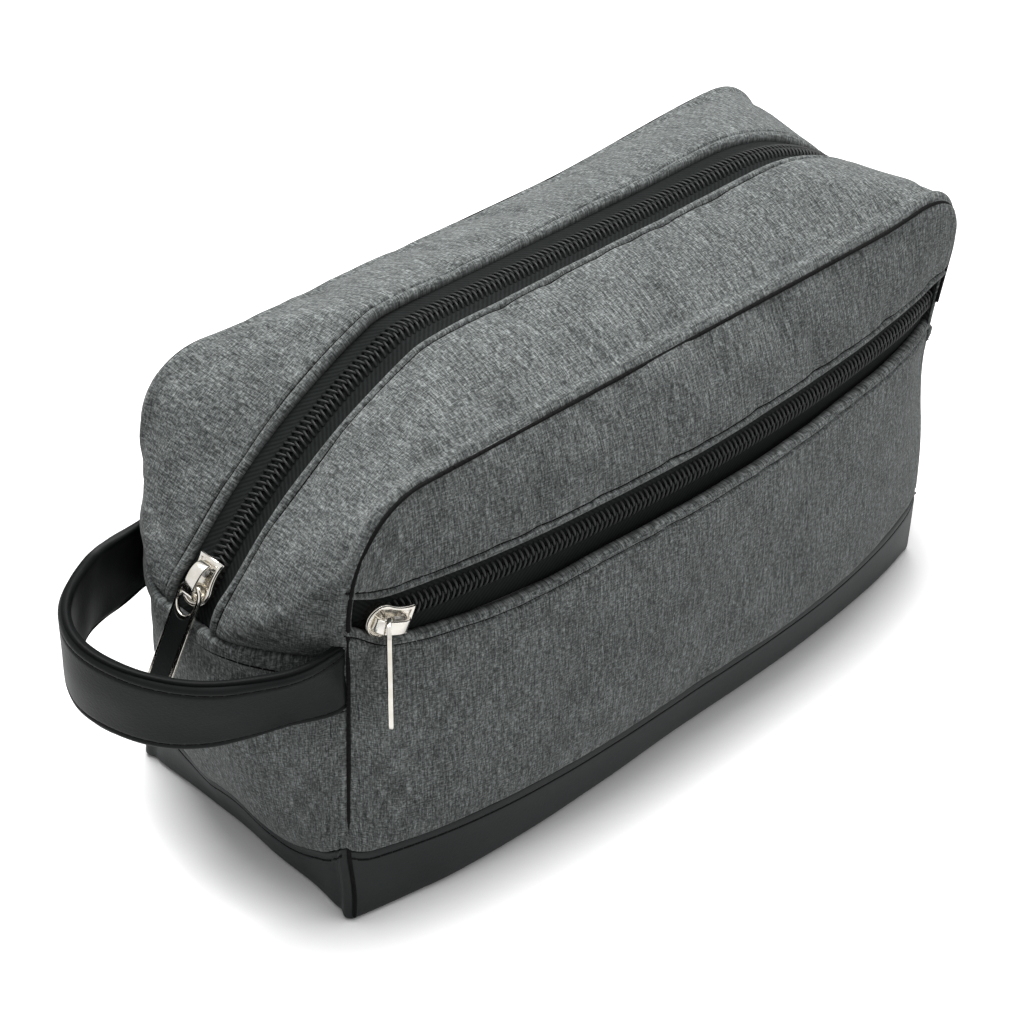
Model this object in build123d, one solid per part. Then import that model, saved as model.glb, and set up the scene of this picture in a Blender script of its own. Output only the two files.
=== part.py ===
from build123d import *
import math
import os

# Box-shaped toiletry bag. Origin: centre of the base underside, on the floor.
# +X runs along the bag's length, +Y to the rear, +Z up. The carry loop is at -X.

# Driving dimensions, in millimetres
LENGTH = 220.0            # between the seams at the two ends
DEPTH = 77.0              # between the front and the rear seam
SEAM_TOP = 124.0          # height of the front and rear top seams
SEAM_RADIUS = 21.0        # top corners of the front and rear panels
CROWN = 135.0             # height of the zip line over the middle
TRIM_TOP = 18.5           # height of the base trim
CROSS_SEAM = 80.0         # seam on each end, under the zip
FABRIC = 1.5              # thickness of the padded gusset, the end panels and the base
PANEL = 1.9               # thickness of the padded front and rear panels, along y
SEAM_PLANE = 37.2         # where the panels meet the gusset, each side of the middle
BELLY = 14.5              # how far the front and rear bow out
BELLY_LEVEL = 55.0        # height of their fullest line
BELLY_DROP = 5.8          # how much less they bow out at the base
BELLY_SQUARE = 75.0       # height under which the bow gets flatter in the middle
BELLY_GRID = (17, 13)     # points along and up a panel that its smooth face runs through
BELLY_MARGIN = 2.0        # how far that face passes the seam
MID_WEIGHT = 0.66         # share of the zip's shape in the gusset's middle station
MID_STATION = 22.0        # where that station stands, from the middle of the bag

# Zips
ZIP_ARC_CENTRE = (-12.3, 5.0)    # x, z of the centre of the zip's arc at the left end
ZIP_ARC_RADIUS = 139.0
ZIP_ARC_START = 146.2            # degrees, at the left end wall
ZIP_TAPE_START = 146.8           # degrees, where the tapes are sewn off
ZIP_ARC_END = 112.0              # degrees, where the zip turns on to the top
SLOT_HALF = 7.5                  # half the gap in the fabric along the main zip
STRIP_HALF = 9.0                 # half the flat strip under that gap
BAND_LOW = 83.5                  # pocket zip opening, lower and upper fabric edge
BAND_HIGH = 96.5
BAND_MID = (BAND_LOW + BAND_HIGH) / 2
BAND_SAG = 11.4                  # how far the pocket zip bows out at the middle
BAND_TAPE_END = 4.5              # from the end seam to the end of the pocket zip's tapes
BAND_CHAIN_END = 6.0             # and to the end of its teeth
TAPE_DEPTH = 1.9                 # from the fabric's outer face to the main zip's tape
POCKET_DEPTH = 2.4               # from the pocket zip's arc to its tape
TAPE = 0.5                       # thickness of the woven tape
TAPE_GAP = 1.1                   # half the gap between the two tapes
TAPE_TUCK = 1.3                  # how far the tape runs under the fabric
TOOTH_PITCH = 2.8
TOOTH_NECK = 0.7
TOOTH_HEAD = 1.45
TOOTH_ROOT = 3.0                 # from the zip's middle to the outer end of a tooth
TOOTH_REACH = 0.9                # how far a head passes the middle
TOOTH_HEIGHT = 2.2
TOOTH_SEAT = 0.02                # how deep the teeth sit in the tape's face
CHAIN_LEAD = 1.2                 # first tooth, ahead of the slider's middle
CHAIN_TAIL = 1.0                 # last tooth, before the end of the tape

# Sliders
SLIDER_START = 142.6             # degrees on the zip arc, main slider at rest
POCKET_SLIDER_X = -98.5
PLATE = 1.1                      # thickness of a slider plate
PLATE_BELOW = 0.85               # lower plate's top, under the tape's outer face
PLATE_ABOVE = 2.6                # upper plate's underside, over that face
NOSE = 7.3                       # round end of the plates, from the slider's middle
HEEL = 7.4                       # square end, towards the closed chain
HEEL_TIP = 4.3                   # half the width at the heel
SHOULDER = 4.8                   # half the width at the widest place
SHOULDER_X = -2.4                # where that is along the slider
WAIST_X = 2.6                    # where the sides draw in
WAIST_IN = 0.5                   # and by how much
LOWER_SCALE = 0.96               # lower plate's size against the upper one's
WEDGE_TIP = -5.6                 # where the wedge between the plates starts and ends
WEDGE_END = -2.4
WEDGE_HALF = (0.75, 0.4)         # half its width at those places
FLANGE_MID = 1.0                 # middle of the side flanges along the slider
FLANGE_LENGTH = 11.0
FLANGE_ROOM = 7.0                # width between the flanges, for the closed teeth
FLANGE_LOW = 0.45                # their lower edge over the tape's outer face
BRIDGE_HALF = 1.9                # half the width of the slider's bridge
BRIDGE_MID = 8.0                 # height of the bridge's middle over the tape
BRIDGE_THICK = 1.3
BRIDGE_BEND = 3.5                # outer radius of the bridge's two bends
BRIDGE_NOSE = 6.7                # bridge's feet along the slider
BRIDGE_HEEL = 6.2
SPRING = (1.2, 4.2, 1.6, 0.5)    # lock spring: start, end, width and thickness

# Pulls
RING_IN = 3.0
RING_OUT = 3.9
WINDOW_LENGTH = 3.0              # straight part of the pull's window
PULL_LENGTH = 25.5               # ring centre to the free end
PULL_THICK = 1.3
PULL_CORNER = 1.6                # rounding of the free end
MAIN_HINGE = (-3.0, 6.3)         # along the slider and above the tape
MAIN_PULL_TILT = 27.0            # how far the main pull stands off upright, against the fabric
POCKET_PULL_TWIST = 40.0         # how far the pocket pull turns edge-on
POCKET_PULL_LEAN = 4.0           # how far it stands off upright
RING_DROP = 0.5                  # from the bridge's middle down to the ring's centre

# Carry loop
STRAP_WIDTH = 24.0
STRAP_MID = 72.0                 # height of the strap's middle
STRAP_REACH = 45.5               # how far the loop stands out
LOOP_END_RADIUS = 33.0           # inner face of the loop's far end
LOOP_TURN = 240.0                # degrees, where the far end passes into the sides
LOOP_SIDE_RADIUS = 77.6
LOOP_SIDE_SWEEP = 23.5           # degrees of the side's arc, up to the front seam
STRAP_LAYERS = (("handle_lining", 0.0, 1.0), ("handle_core", 1.0, 2.0), ("handle_outer", 2.0, 3.2))
STRAP_THICK = 3.2
SWING_X = -118.0                 # the line on which the loop bends
SWING_RADIUS = 12.6
SWING_GAP = 0.35

# Inside
LINING = 0.5                     # thickness of the lining cloth
LINING_INSET = 3.7               # from the seam's outline to the main lining
LINING_UNDER_ZIP = 1.6           # how much deeper it hangs under the zip's outline
LINING_HALF = 34.8               # half its depth
LINING_MOUTH = 84.0              # height from which its top is open under the zip
POUCH_END = 18.0                 # pocket lining: ends, from the end seams
POUCH_LOW = 24.0                 # its bottom
POUCH_HIGH = 101.0               # and its top
POUCH_GAP = 0.7                  # from the front panel's inner face
POUCH_BACK = 0.5                 # from the main lining
POUCH_MOUTH = 2.0                # how far its opening passes the pocket zip's
BINDING_DEPTH = (2.9, 3.6)       # bound seam allowance, inside the seam's outline
BINDING_PLACE = (0.3, 4.6)       # and its reach from the seam's plane
BOARD = 1.6                      # thickness of the stiff board on the bottom
BOARD_GAP = 0.1                  # over the bottom panel
BOARD_CLEAR = (12.0, 8.0)        # how much shorter and narrower it is than the bag
BOARD_CORNER = 8.0

HALF = LENGTH / 2
SIDE = DEPTH / 2
BULGE_ROOM = 25.0                # more than any panel stands out from its seam
FAR = 400.0
BAND_RADIUS = (HALF ** 2 + BAND_SAG ** 2) / (2 * BAND_SAG)
BAND_CENTRE = BAND_RADIUS - SIDE - BAND_SAG


def box(low, high):
    """Block between two corners."""
    size = [high[i] - low[i] for i in range(3)]
    middle = [(high[i] + low[i]) / 2 for i in range(3)]
    return Pos(*middle) * Box(*size)


def between(low_z, high_z, low_y=-FAR, high_y=FAR, low_x=-FAR, high_x=FAR):
    """Region of space used to cut one panel out of a shell."""
    return box((low_x, low_y, low_z), (high_x, high_y, high_z))


# Outline of the bag seen from the front, as cubic curves

def arc_curve(centre, radius, start, end):
    """Control points of a short circular arc, after its first point."""
    a, b = math.radians(start), math.radians(end)
    reach = 4 / 3 * math.tan((b - a) / 4) * radius
    first = (centre[0] + radius * math.cos(a), centre[1] + radius * math.sin(a))
    last = (centre[0] + radius * math.cos(b), centre[1] + radius * math.sin(b))
    return [
        (first[0] - reach * math.sin(a), first[1] + reach * math.cos(a)),
        (last[0] + reach * math.sin(b), last[1] - reach * math.cos(b)),
        last,
    ]


def line_curve(first, last):
    """Control points of a straight run, after its first point."""
    return [
        tuple(first[i] + (last[i] - first[i]) * share for i in range(2))
        for share in (1 / 3, 2 / 3, 1)
    ]


def seam_side():
    """Half of the seam's outline, from the base's left end up to the top's middle."""
    foot = (-HALF, 0.0)
    shoulder = (-HALF, SEAM_TOP - SEAM_RADIUS)
    corner = (-HALF + SEAM_RADIUS, SEAM_TOP - SEAM_RADIUS)
    points = [foot]
    points += line_curve(foot, shoulder)
    points += arc_curve(corner, SEAM_RADIUS, 180, 170)
    points += arc_curve(corner, SEAM_RADIUS, 170, 90)
    points += line_curve((corner[0], SEAM_TOP), (0.0, SEAM_TOP))
    return points


def zip_side_left():
    """Left half of the outline along the zip: bulging end, slanted arc and crown."""
    points = [(-113.5, 0.0), (-118.5, 20.0), (-128.6, 45.0), (-128.6, 77.5)]
    arc = arc_curve(ZIP_ARC_CENTRE, ZIP_ARC_RADIUS, ZIP_ARC_START, ZIP_ARC_END)
    first = arc_curve(ZIP_ARC_CENTRE, ZIP_ARC_RADIUS, ZIP_ARC_END, ZIP_ARC_START)[-1]
    points += [(-128.6, 79.2), (first[0] - 0.8, first[1] - 1.2), first]
    points += arc
    points += [(arc[-1][0] + 5.3, arc[-1][1] + 1.9), (-44.0, CROWN), (0.0, CROWN)]
    return points


def zip_side_right():
    """Right half along the zip, which holds a fuller shoulder."""
    points = [(113.5, 0.0), (118.5, 20.0), (127.0, 45.0), (127.0, 77.5)]
    points += [(127.0, 78.8), (126.9, 80.0), (126.6, 81.0)]
    points += [(119.0, 109.5), (86.0, 130.5), (60.0, 133.4)]
    points += [(44.0, 135.1), (22.0, CROWN), (0.0, CROWN)]
    return points


def outline_points(weight, inset):
    """Control points of a closed outline: 0 is the seam's shape and 1 the zip's."""
    seam = seam_side()
    seam_right = [(-x, z) for x, z in seam]
    left = [
        tuple(a[i] + (b[i] - a[i]) * weight for i in range(2))
        for a, b in zip(seam, zip_side_left())
    ]
    right = [
        tuple(a[i] + (b[i] - a[i]) * weight for i in range(2))
        for a, b in zip(seam_right, zip_side_right())
    ]
    loop = left + right[::-1][1:]
    if inset == 0:
        return loop
    moved = []
    for i, (x, z) in enumerate(loop):
        before = loop[i - 1] if i > 0 else (x, z - 1)
        after = loop[i + 1] if i < len(loop) - 1 else (x, z - 1)
        dx, dz = after[0] - before[0], after[1] - before[1]
        size = math.hypot(dx, dz)
        moved.append((x + dz / size * inset, z - dx / size * inset))
    return moved


def outline(weight, inset, y):
    """Closed wire of the outline in the upright plane at y."""
    points = [Vector(x, y, z) for x, z in outline_points(weight, inset)]
    edges = [Bezier(*points[i:i + 4]) for i in range(0, len(points) - 1, 3)]
    edges.append(Line(points[-1], points[0]))
    return Wire(edges)


def prism(weight, inset, low_y, high_y):
    """Solid of constant outline between two depths."""
    face = Face(outline(weight, inset, low_y))
    return extrude(face, amount=high_y - low_y, dir=(0, 1, 0))


def side_loft(side, inset):
    """Half of the gusset's form, from the flat strip at the zip out to one seam."""
    stations = ((1.0, STRIP_HALF), (MID_WEIGHT, MID_STATION), (0.0, SEAM_PLANE))
    wires = [outline(weight, inset, side * y) for weight, y in stations]
    return Solid.make_loft(wires, ruled=True)


# Belly of the front and rear panels

def belly(x, z):
    """How far a panel stands out from its seam at a height and a place along it."""
    if z > BELLY_LEVEL:
        height = BELLY * (1 - ((z - BELLY_LEVEL) / (SEAM_TOP - BELLY_LEVEL)) ** 3)
    else:
        height = BELLY - BELLY_DROP * ((BELLY_LEVEL - z) / BELLY_LEVEL) ** 4
    power = 2.0 + 1.4 * max(0.0, (BELLY_SQUARE - z) / BELLY_SQUARE)
    return height * (1 - abs(x / HALF) ** power)


def belly_face(side, inset):
    """Smooth outer face of a panel, moved inwards by inset."""
    columns, rows = BELLY_GRID
    low_z, high_z = -BELLY_MARGIN, SEAM_TOP + BELLY_MARGIN
    grid = []
    for i in range(columns):
        x = (-1 + 2 * i / (columns - 1)) * (HALF + BELLY_MARGIN)
        row = []
        for j in range(rows):
            z = low_z + (high_z - low_z) * j / (rows - 1)
            row.append(Vector(x, side * (SIDE + belly(x, z) - inset), z))
        grid.append(row)
    return Face.make_surface_from_array_of_points(grid, tol=0.02, min_deg=3, max_deg=5)


def belly_sheet(side, inset, thick):
    """Sheet of even thickness that follows a panel's belly."""
    return extrude(belly_face(side, inset), amount=thick, dir=(0, -side, 0))


def panel_sheet(side):
    """Whole front or rear panel, trimmed to the seam."""
    low, high = sorted((side * SEAM_PLANE, side * (SIDE + BULGE_ROOM)))
    return belly_sheet(side, 0, PANEL) & prism(0, 0, low, high)


def front_panels():
    """Upper panel, pocket panel and base trim on the front."""
    sheet = panel_sheet(-1)
    return {
        "front_upper_panel": sheet & between(BAND_HIGH, FAR),
        "front_pocket_panel": sheet & between(TRIM_TOP, BAND_LOW),
        "front_base_trim": sheet & between(FABRIC, TRIM_TOP),
    }


def rear_panels():
    """Rear panel and its base trim."""
    sheet = panel_sheet(1)
    return {
        "rear_panel": sheet & between(TRIM_TOP, FAR),
        "rear_base_trim": sheet & between(FABRIC, TRIM_TOP),
    }


def gusset_shell(side):
    """Half of the band that runs over the ends and the top, out to one seam."""
    outer = side_loft(side, 0)
    inner = side_loft(side, FABRIC)
    low, high = sorted((side * STRIP_HALF, side * 0.0))
    strip = prism(1, 0, low, high) - prism(1, FABRIC, low, high)
    return [outer - inner, strip]


def gusset_panels():
    """Gusset each side of the zip, end panels under the cross seams and end trims."""
    front, front_strip = gusset_shell(-1)
    rear, rear_strip = gusset_shell(1)
    top = between(CROSS_SEAM, FAR)
    front_slot = between(CROSS_SEAM, FAR, -FAR, -SLOT_HALF)
    rear_slot = between(CROSS_SEAM, FAR, SLOT_HALF, FAR)
    pieces = {
        "gusset_front": (front & top) + (front_strip & front_slot),
        "gusset_rear": (rear & top) + (rear_strip & rear_slot),
    }
    whole = [front, front_strip, rear, rear_strip]
    bands = (("end_panel", TRIM_TOP, CROSS_SEAM), ("end_trim", FABRIC, TRIM_TOP))
    for name, low, high in bands:
        for end, low_x, high_x in (("left", -FAR, -HALF / 2), ("right", HALF / 2, FAR)):
            region = between(low, high, -FAR, FAR, low_x, high_x)
            parts = [piece & region for piece in whole]
            pieces[f"{end}_{name}"] = parts[0] + parts[1] + parts[2] + parts[3]
    return pieces


def base_slab():
    """Bottom panel, full size, with the rounded edge under each end."""
    slab = between(0, FABRIC)
    strip = prism(1, 0, -STRIP_HALF, STRIP_HALF) & slab
    sides = [side_loft(side, 0) & slab for side in (-1, 1)]
    fronts = []
    for side in (-1, 1):
        low, high = sorted((side * SEAM_PLANE, side * (SIDE + BULGE_ROOM)))
        filled = extrude(belly_face(side, 0), amount=SIDE, dir=(0, -side, 0))
        fronts.append(filled & prism(0, 0, low, high) & slab)
    return strip + sides[0] + sides[1] + fronts[0] + fronts[1]


def base_board():
    """Stiff board that lies on the bottom panel, inside."""
    plan = RectangleRounded(LENGTH - BOARD_CLEAR[0], DEPTH - BOARD_CLEAR[1], BOARD_CORNER)
    return Pos(0, 0, FABRIC + BOARD_GAP) * extrude(plan, amount=BOARD)


# Linings

def lining_block(inset, half):
    """Form of the lining bag: the seam's outline, cut back under the slanted zip."""
    block = prism(0, inset, -half, half) & prism(1, inset + LINING_UNDER_ZIP, -half, half)
    return block & between(inset, FAR)


def main_lining():
    """Thin inner bag, open along the top under the zip."""
    bag = lining_block(LINING_INSET, LINING_HALF)
    bag -= lining_block(LINING_INSET + LINING, LINING_HALF - LINING)
    return bag - between(LINING_MOUTH, FAR, -SLOT_HALF, SLOT_HALF)


def pouch(shrink, back):
    """Form of the pocket's pouch, smaller all round by a distance, with its back at y."""
    end = HALF - POUCH_END - shrink
    block = box((-end, -FAR, POUCH_LOW + shrink), (end, back, POUCH_HIGH - shrink))
    front = belly_face(-1, FABRIC + POUCH_GAP + shrink)
    return extrude(front, amount=SIDE, dir=(0, 1, 0)) & block


def pocket_lining():
    """Flat pouch behind the pocket zip, open towards the zip."""
    back = -LINING_HALF - POUCH_BACK
    bag = pouch(0.0, back) - pouch(LINING, back - LINING)
    return bag - between(BAND_LOW - POUCH_MOUTH, BAND_HIGH + POUCH_MOUTH, -FAR, back - LINING)


# Seam bindings inside the bag

def seam_binding(side):
    """Narrow bound edge of the seam allowance, all round inside the bag."""
    low, high = sorted(side * (SEAM_PLANE - reach) for reach in BINDING_PLACE)
    outer, inner = BINDING_DEPTH
    ring = prism(0, outer, low, high) - prism(0, inner, low, high)
    return ring & between(FABRIC + BOARD_GAP + BOARD, FAR)


# Main zip

def zip_path(offset):
    """Line of the main zip at a distance inside the outer face, left end first."""
    points = outline_points(1, offset)
    parts = [points[i:i + 4] for i in range(0, len(points) - 1, 3)]
    return [[Vector(x, 0, z) for x, z in part] for part in parts]


def arc_point(angle, offset):
    """Point on the zip's arc, offset inwards."""
    turn = math.radians(angle)
    reach = ZIP_ARC_RADIUS - offset
    return Vector(
        ZIP_ARC_CENTRE[0] + reach * math.cos(turn), 0, ZIP_ARC_CENTRE[1] + reach * math.sin(turn)
    )


def zip_edges(offset):
    """Edges of the zip line: exact arc at the left, then the top and the right."""
    arc = ThreePointArc(
        arc_point(ZIP_TAPE_START, offset),
        arc_point((ZIP_TAPE_START + ZIP_ARC_END) / 2, offset),
        arc_point(ZIP_ARC_END, offset),
    )
    parts = zip_path(offset)
    top_left, top_right, right = parts[3], parts[4], parts[5]
    joined = [arc @ 1] + top_left[1:]
    return [arc, Bezier(*joined), Bezier(*top_right), Bezier(*right)]


def zip_sheet(low, high, low_y, high_y):
    """Sheet that follows the main zip between two depths under the outer face."""
    upper, lower = zip_edges(low), zip_edges(high)
    caps = [Line(upper[-1] @ 1, lower[-1] @ 1), Line(lower[0] @ 0, upper[0] @ 0)]
    face = Face(Wire([*upper, caps[0], *lower, caps[1]]))
    return Pos(0, low_y, 0) * extrude(face, amount=high_y - low_y, dir=(0, 1, 0))


def main_tapes():
    """Two woven tapes of the main zip."""
    reach = SLOT_HALF + TAPE_TUCK
    low, high = TAPE_DEPTH, TAPE_DEPTH + TAPE
    return {
        "main_tape_front": zip_sheet(low, high, -reach, -TAPE_GAP),
        "main_tape_rear": zip_sheet(low, high, TAPE_GAP, reach),
    }


def tooth(side):
    """One tooth: a neck at the tape that widens to the head past the middle."""
    root, head = side * TOOTH_ROOT, -side * TOOTH_REACH
    plan = Polygon(
        (-TOOTH_NECK / 2, root), (TOOTH_NECK / 2, root), (TOOTH_HEAD / 2, head),
        (-TOOTH_HEAD / 2, head), align=None,
    )
    return extrude(plan, amount=TOOTH_HEIGHT, dir=(0, 0, 1))


def chain_places(wire, start, phase):
    """Places of the teeth along a wire, from a start length."""
    count = int((wire.length - start - phase - CHAIN_TAIL) / TOOTH_PITCH)
    for i in range(count):
        share = (start + phase + i * TOOTH_PITCH) / wire.length
        yield wire @ share, wire % share


def chain_start():
    """Length along the main zip at which its closed teeth begin, in the slider's mouth."""
    turned = math.radians(ZIP_TAPE_START - SLIDER_START)
    return turned * (ZIP_ARC_RADIUS - TAPE_DEPTH)


def teeth_row(wire, start, side, across):
    """Teeth of one tape along a wire; the two rows stand half a pitch apart."""
    one = tooth(side)
    phase = 0.0 if side < 0 else TOOTH_PITCH / 2
    return [
        Plane(origin=place, x_dir=along, z_dir=along.cross(across)) * one
        for place, along in chain_places(wire, start, phase)
    ]


def main_teeth():
    """Interlocked rows of teeth on the outer face of the two tapes."""
    wire = Wire(zip_edges(TAPE_DEPTH - TOOTH_SEAT))
    start = chain_start() - CHAIN_LEAD
    across = Vector(0, 1, 0)
    return {
        "main_teeth_front": teeth_row(wire, start, -1, across),
        "main_teeth_rear": teeth_row(wire, start, 1, across),
    }


# Pocket zip

def band_point(x, offset, z=0.0):
    """Point on the pocket zip's arc, offset inwards."""
    reach = BAND_RADIUS - offset
    return Vector(x, BAND_CENTRE - math.sqrt(reach ** 2 - x ** 2), z)


def band_arc(end, offset, z=0.0):
    """Arc along the pocket zip between two ends."""
    return ThreePointArc(band_point(-end, offset, z), band_point(0, offset, z), band_point(end, offset, z))


def band_sheet(low, high, low_z, high_z):
    """Sheet that follows the pocket zip."""
    end = HALF - BAND_TAPE_END
    upper, lower = band_arc(end, low), band_arc(end, high)
    sides = [Line(upper @ 0, lower @ 0), Line(upper @ 1, lower @ 1)]
    face = Face(Wire([upper, sides[1], lower, sides[0]]))
    return Pos(0, 0, low_z) * extrude(face, amount=high_z - low_z, dir=(0, 0, 1))


def pocket_tapes():
    """Two woven tapes of the pocket zip."""
    low, high = POCKET_DEPTH, POCKET_DEPTH + TAPE
    return {
        "pocket_tape_lower": band_sheet(low, high, BAND_LOW - TAPE_TUCK, BAND_MID - TAPE_GAP),
        "pocket_tape_upper": band_sheet(low, high, BAND_MID + TAPE_GAP, BAND_HIGH + TAPE_TUCK),
    }


def pocket_teeth():
    """Interlocked rows of teeth of the pocket zip."""
    offset = POCKET_DEPTH - TOOTH_SEAT
    wire = Wire([band_arc(HALF - BAND_CHAIN_END, offset, BAND_MID)])
    first = wire.param_at_point(band_point(POCKET_SLIDER_X, offset, BAND_MID))
    start = first * wire.length - CHAIN_LEAD
    across = Vector(0, 0, 1)
    return {
        "pocket_teeth_lower": teeth_row(wire, start, -1, across),
        "pocket_teeth_upper": teeth_row(wire, start, 1, across),
    }


# Sliders, in their own frame: x along the zip to the closed side, y across, z outwards

def slider_plan(scale):
    """Plan of a slider plate: round nose, waist and square heel with two tips."""
    nose, wide, heel, tip = NOSE * scale, SHOULDER * scale, HEEL * scale, HEEL_TIP * scale
    waist = tip - WAIST_IN
    side = ThreePointArc((heel, tip), (WAIST_X, waist), (SHOULDER_X, wide))
    bow = ThreePointArc((SHOULDER_X, wide), (-nose, 0), (SHOULDER_X, -wide))
    back = ThreePointArc((SHOULDER_X, -wide), (WAIST_X, -waist), (heel, -tip))
    return make_face(Wire([side, bow, back, Line((heel, -tip), (heel, tip))]))


def slider_body():
    """Cast body: two plates, the wedge between them and the flanges that hold the teeth."""
    top = PLATE_ABOVE + PLATE
    low = -PLATE_BELOW - PLATE
    upper = Pos(0, 0, PLATE_ABOVE) * extrude(slider_plan(1.0), amount=PLATE)
    lower = Pos(0, 0, low) * extrude(slider_plan(LOWER_SCALE), amount=PLATE)
    wide, narrow = WEDGE_HALF
    wedge_plan = Polygon(
        (WEDGE_TIP, -wide), (WEDGE_TIP, wide), (WEDGE_END, narrow), (WEDGE_END, -narrow), align=None,
    )
    wedge = Pos(0, 0, low) * extrude(wedge_plan, amount=top - low, dir=(0, 0, 1))
    rim = slider_plan(1.0) & (Pos(FLANGE_MID, 0) * Rectangle(FLANGE_LENGTH, 4 * SHOULDER))
    rim -= Pos(FLANGE_MID, 0) * Rectangle(FLANGE_LENGTH + 1, FLANGE_ROOM)
    flanges = Pos(0, 0, FLANGE_LOW) * extrude(rim, amount=PLATE_ABOVE - FLANGE_LOW)
    return upper + lower + wedge + flanges


def bridge_side(inset):
    """Side view of the bridge's outer line, or of its window."""
    top = BRIDGE_MID + BRIDGE_THICK / 2 - inset
    foot = PLATE_ABOVE + PLATE
    nose, heel = BRIDGE_NOSE - inset, BRIDGE_HEEL - inset
    line = FilletPolyline(
        (-nose, foot), (-nose, top), (heel, top), (heel, foot), radius=BRIDGE_BEND - inset
    )
    return make_face(Wire([*line.edges(), Line(line @ 1, line @ 0)]))


def slider_crown():
    """Arched bridge on the upper plate, with the window that the pull hangs in."""
    side = bridge_side(0) - bridge_side(BRIDGE_THICK)
    return extrude(Plane.XZ * side, amount=BRIDGE_HALF, both=True)


def lock_spring():
    """Small leaf in the crown that presses the locking pin on to the teeth."""
    start, end, width, thick = SPRING
    seat = PLATE_ABOVE + PLATE
    return box((start, -width / 2, seat), (end, width / 2, seat + thick))


def pull_tab():
    """Pull in its own frame: ring centre at the origin, hanging down along -y."""
    shank = PULL_LENGTH - PULL_CORNER
    foot = 4 * PULL_CORNER
    outer = Circle(RING_OUT) + (Pos(0, -shank / 2) * Rectangle(2 * RING_OUT, shank))
    outer += Pos(0, foot / 2 - PULL_LENGTH) * RectangleRounded(2 * RING_OUT, foot, PULL_CORNER)
    window = Circle(RING_IN) + (Pos(0, -WINDOW_LENGTH) * Circle(RING_IN))
    window += Pos(0, -WINDOW_LENGTH / 2) * Rectangle(2 * RING_IN, WINDOW_LENGTH)
    return extrude(outer - window, amount=PULL_THICK / 2, both=True)


def slider_plane_main():
    """Frame of the main slider at rest."""
    turn = math.radians(SLIDER_START)
    outward = Vector(math.cos(turn), 0, math.sin(turn))
    along = Vector(math.sin(turn), 0, -math.cos(turn))
    return Plane(origin=arc_point(SLIDER_START, TAPE_DEPTH), x_dir=along, z_dir=outward)


def slider_plane_pocket():
    """Frame of the pocket slider at rest."""
    place = band_point(POCKET_SLIDER_X, POCKET_DEPTH) + Vector(0, 0, BAND_MID)
    outward = Vector(place.X, place.Y - BAND_CENTRE, 0).normalized()
    along = Vector(-outward.Y, outward.X, 0)
    return Plane(origin=place, x_dir=along, z_dir=outward)


def main_pull():
    """Main pull, hanging from the bridge's nose end."""
    plane = slider_plane_main()
    axis = plane.origin + plane.x_dir * MAIN_HINGE[0] + plane.z_dir * MAIN_HINGE[1]
    lean = math.radians(MAIN_PULL_TILT)
    down = Vector(-math.sin(lean), 0, -math.cos(lean))
    centre = axis + down * (RING_IN + RING_OUT) / 2
    return Plane(origin=centre, x_dir=(0, 1, 0), z_dir=down.cross(Vector(0, 1, 0))) * pull_tab()


def pocket_hinge():
    """Middle of the bridge on the pocket slider."""
    plane = slider_plane_pocket()
    return plane.origin + plane.z_dir * BRIDGE_MID


def pocket_pull():
    """Pocket pull, hanging from the bridge, turned edge-on and resting off the belly."""
    turn = math.radians(POCKET_PULL_TWIST)
    lean = math.radians(POCKET_PULL_LEAN)
    outward = slider_plane_pocket().z_dir
    down = Vector(0, 0, -math.cos(lean)) + outward * math.sin(lean)
    across = Vector(math.sin(turn), math.cos(turn), 0)
    across = (across - down * across.dot(down)).normalized()
    centre = pocket_hinge() + down * RING_DROP
    return Plane(origin=centre, x_dir=across, z_dir=down.cross(across)) * pull_tab()


def sliders():
    """Both sliders and their pulls."""
    pieces = {}
    for name, plane in (("main", slider_plane_main()), ("pocket", slider_plane_pocket())):
        pieces[f"{name}_slider_body"] = plane * slider_body()
        pieces[f"{name}_slider_crown"] = plane * slider_crown()
        pieces[f"{name}_lock_spring"] = plane * lock_spring()
    pieces["main_pull_tab"] = main_pull()
    pieces["pocket_pull_tab"] = pocket_pull()
    return pieces


# Carry loop

def loop_line(grow):
    """Half plan of the loop, from the front seam round to its far end, as two arcs."""
    end_middle = Vector(-HALF - STRAP_REACH + LOOP_END_RADIUS, 0)
    turn = Vector(math.cos(math.radians(LOOP_TURN)), math.sin(math.radians(LOOP_TURN)))
    join = end_middle + turn * LOOP_END_RADIUS
    side_middle = join - turn * LOOP_SIDE_RADIUS
    side = CenterArc(side_middle, LOOP_SIDE_RADIUS + grow, LOOP_TURN, LOOP_SIDE_SWEEP)
    end = CenterArc(end_middle, LOOP_END_RADIUS + grow, 180, LOOP_TURN - 180)
    return end, side


def loop_layer(low, high):
    """One layer of the strap, between two distances outside its inner face."""
    inner, outer = loop_line(low), loop_line(high)
    caps = [Line(inner[0] @ 0, outer[0] @ 0), Line(inner[1] @ 1, outer[1] @ 1)]
    half = extrude(make_face(Wire([*inner, *outer, *caps])), amount=STRAP_WIDTH, dir=(0, 0, 1))
    half = Pos(0, 0, STRAP_MID - STRAP_WIDTH / 2) * half
    return half + mirror(half, about=Plane.XZ)


def swing_drum(radius):
    """Round limit between the sewn ends and the part of the loop that swings."""
    drum = Cylinder(radius, 2 * SIDE + 40, rotation=(90, 0, 0))
    return (Pos(SWING_X, 0, STRAP_MID) * drum) + box((SWING_X, -80, 40), (-60, 80, 110))


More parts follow.
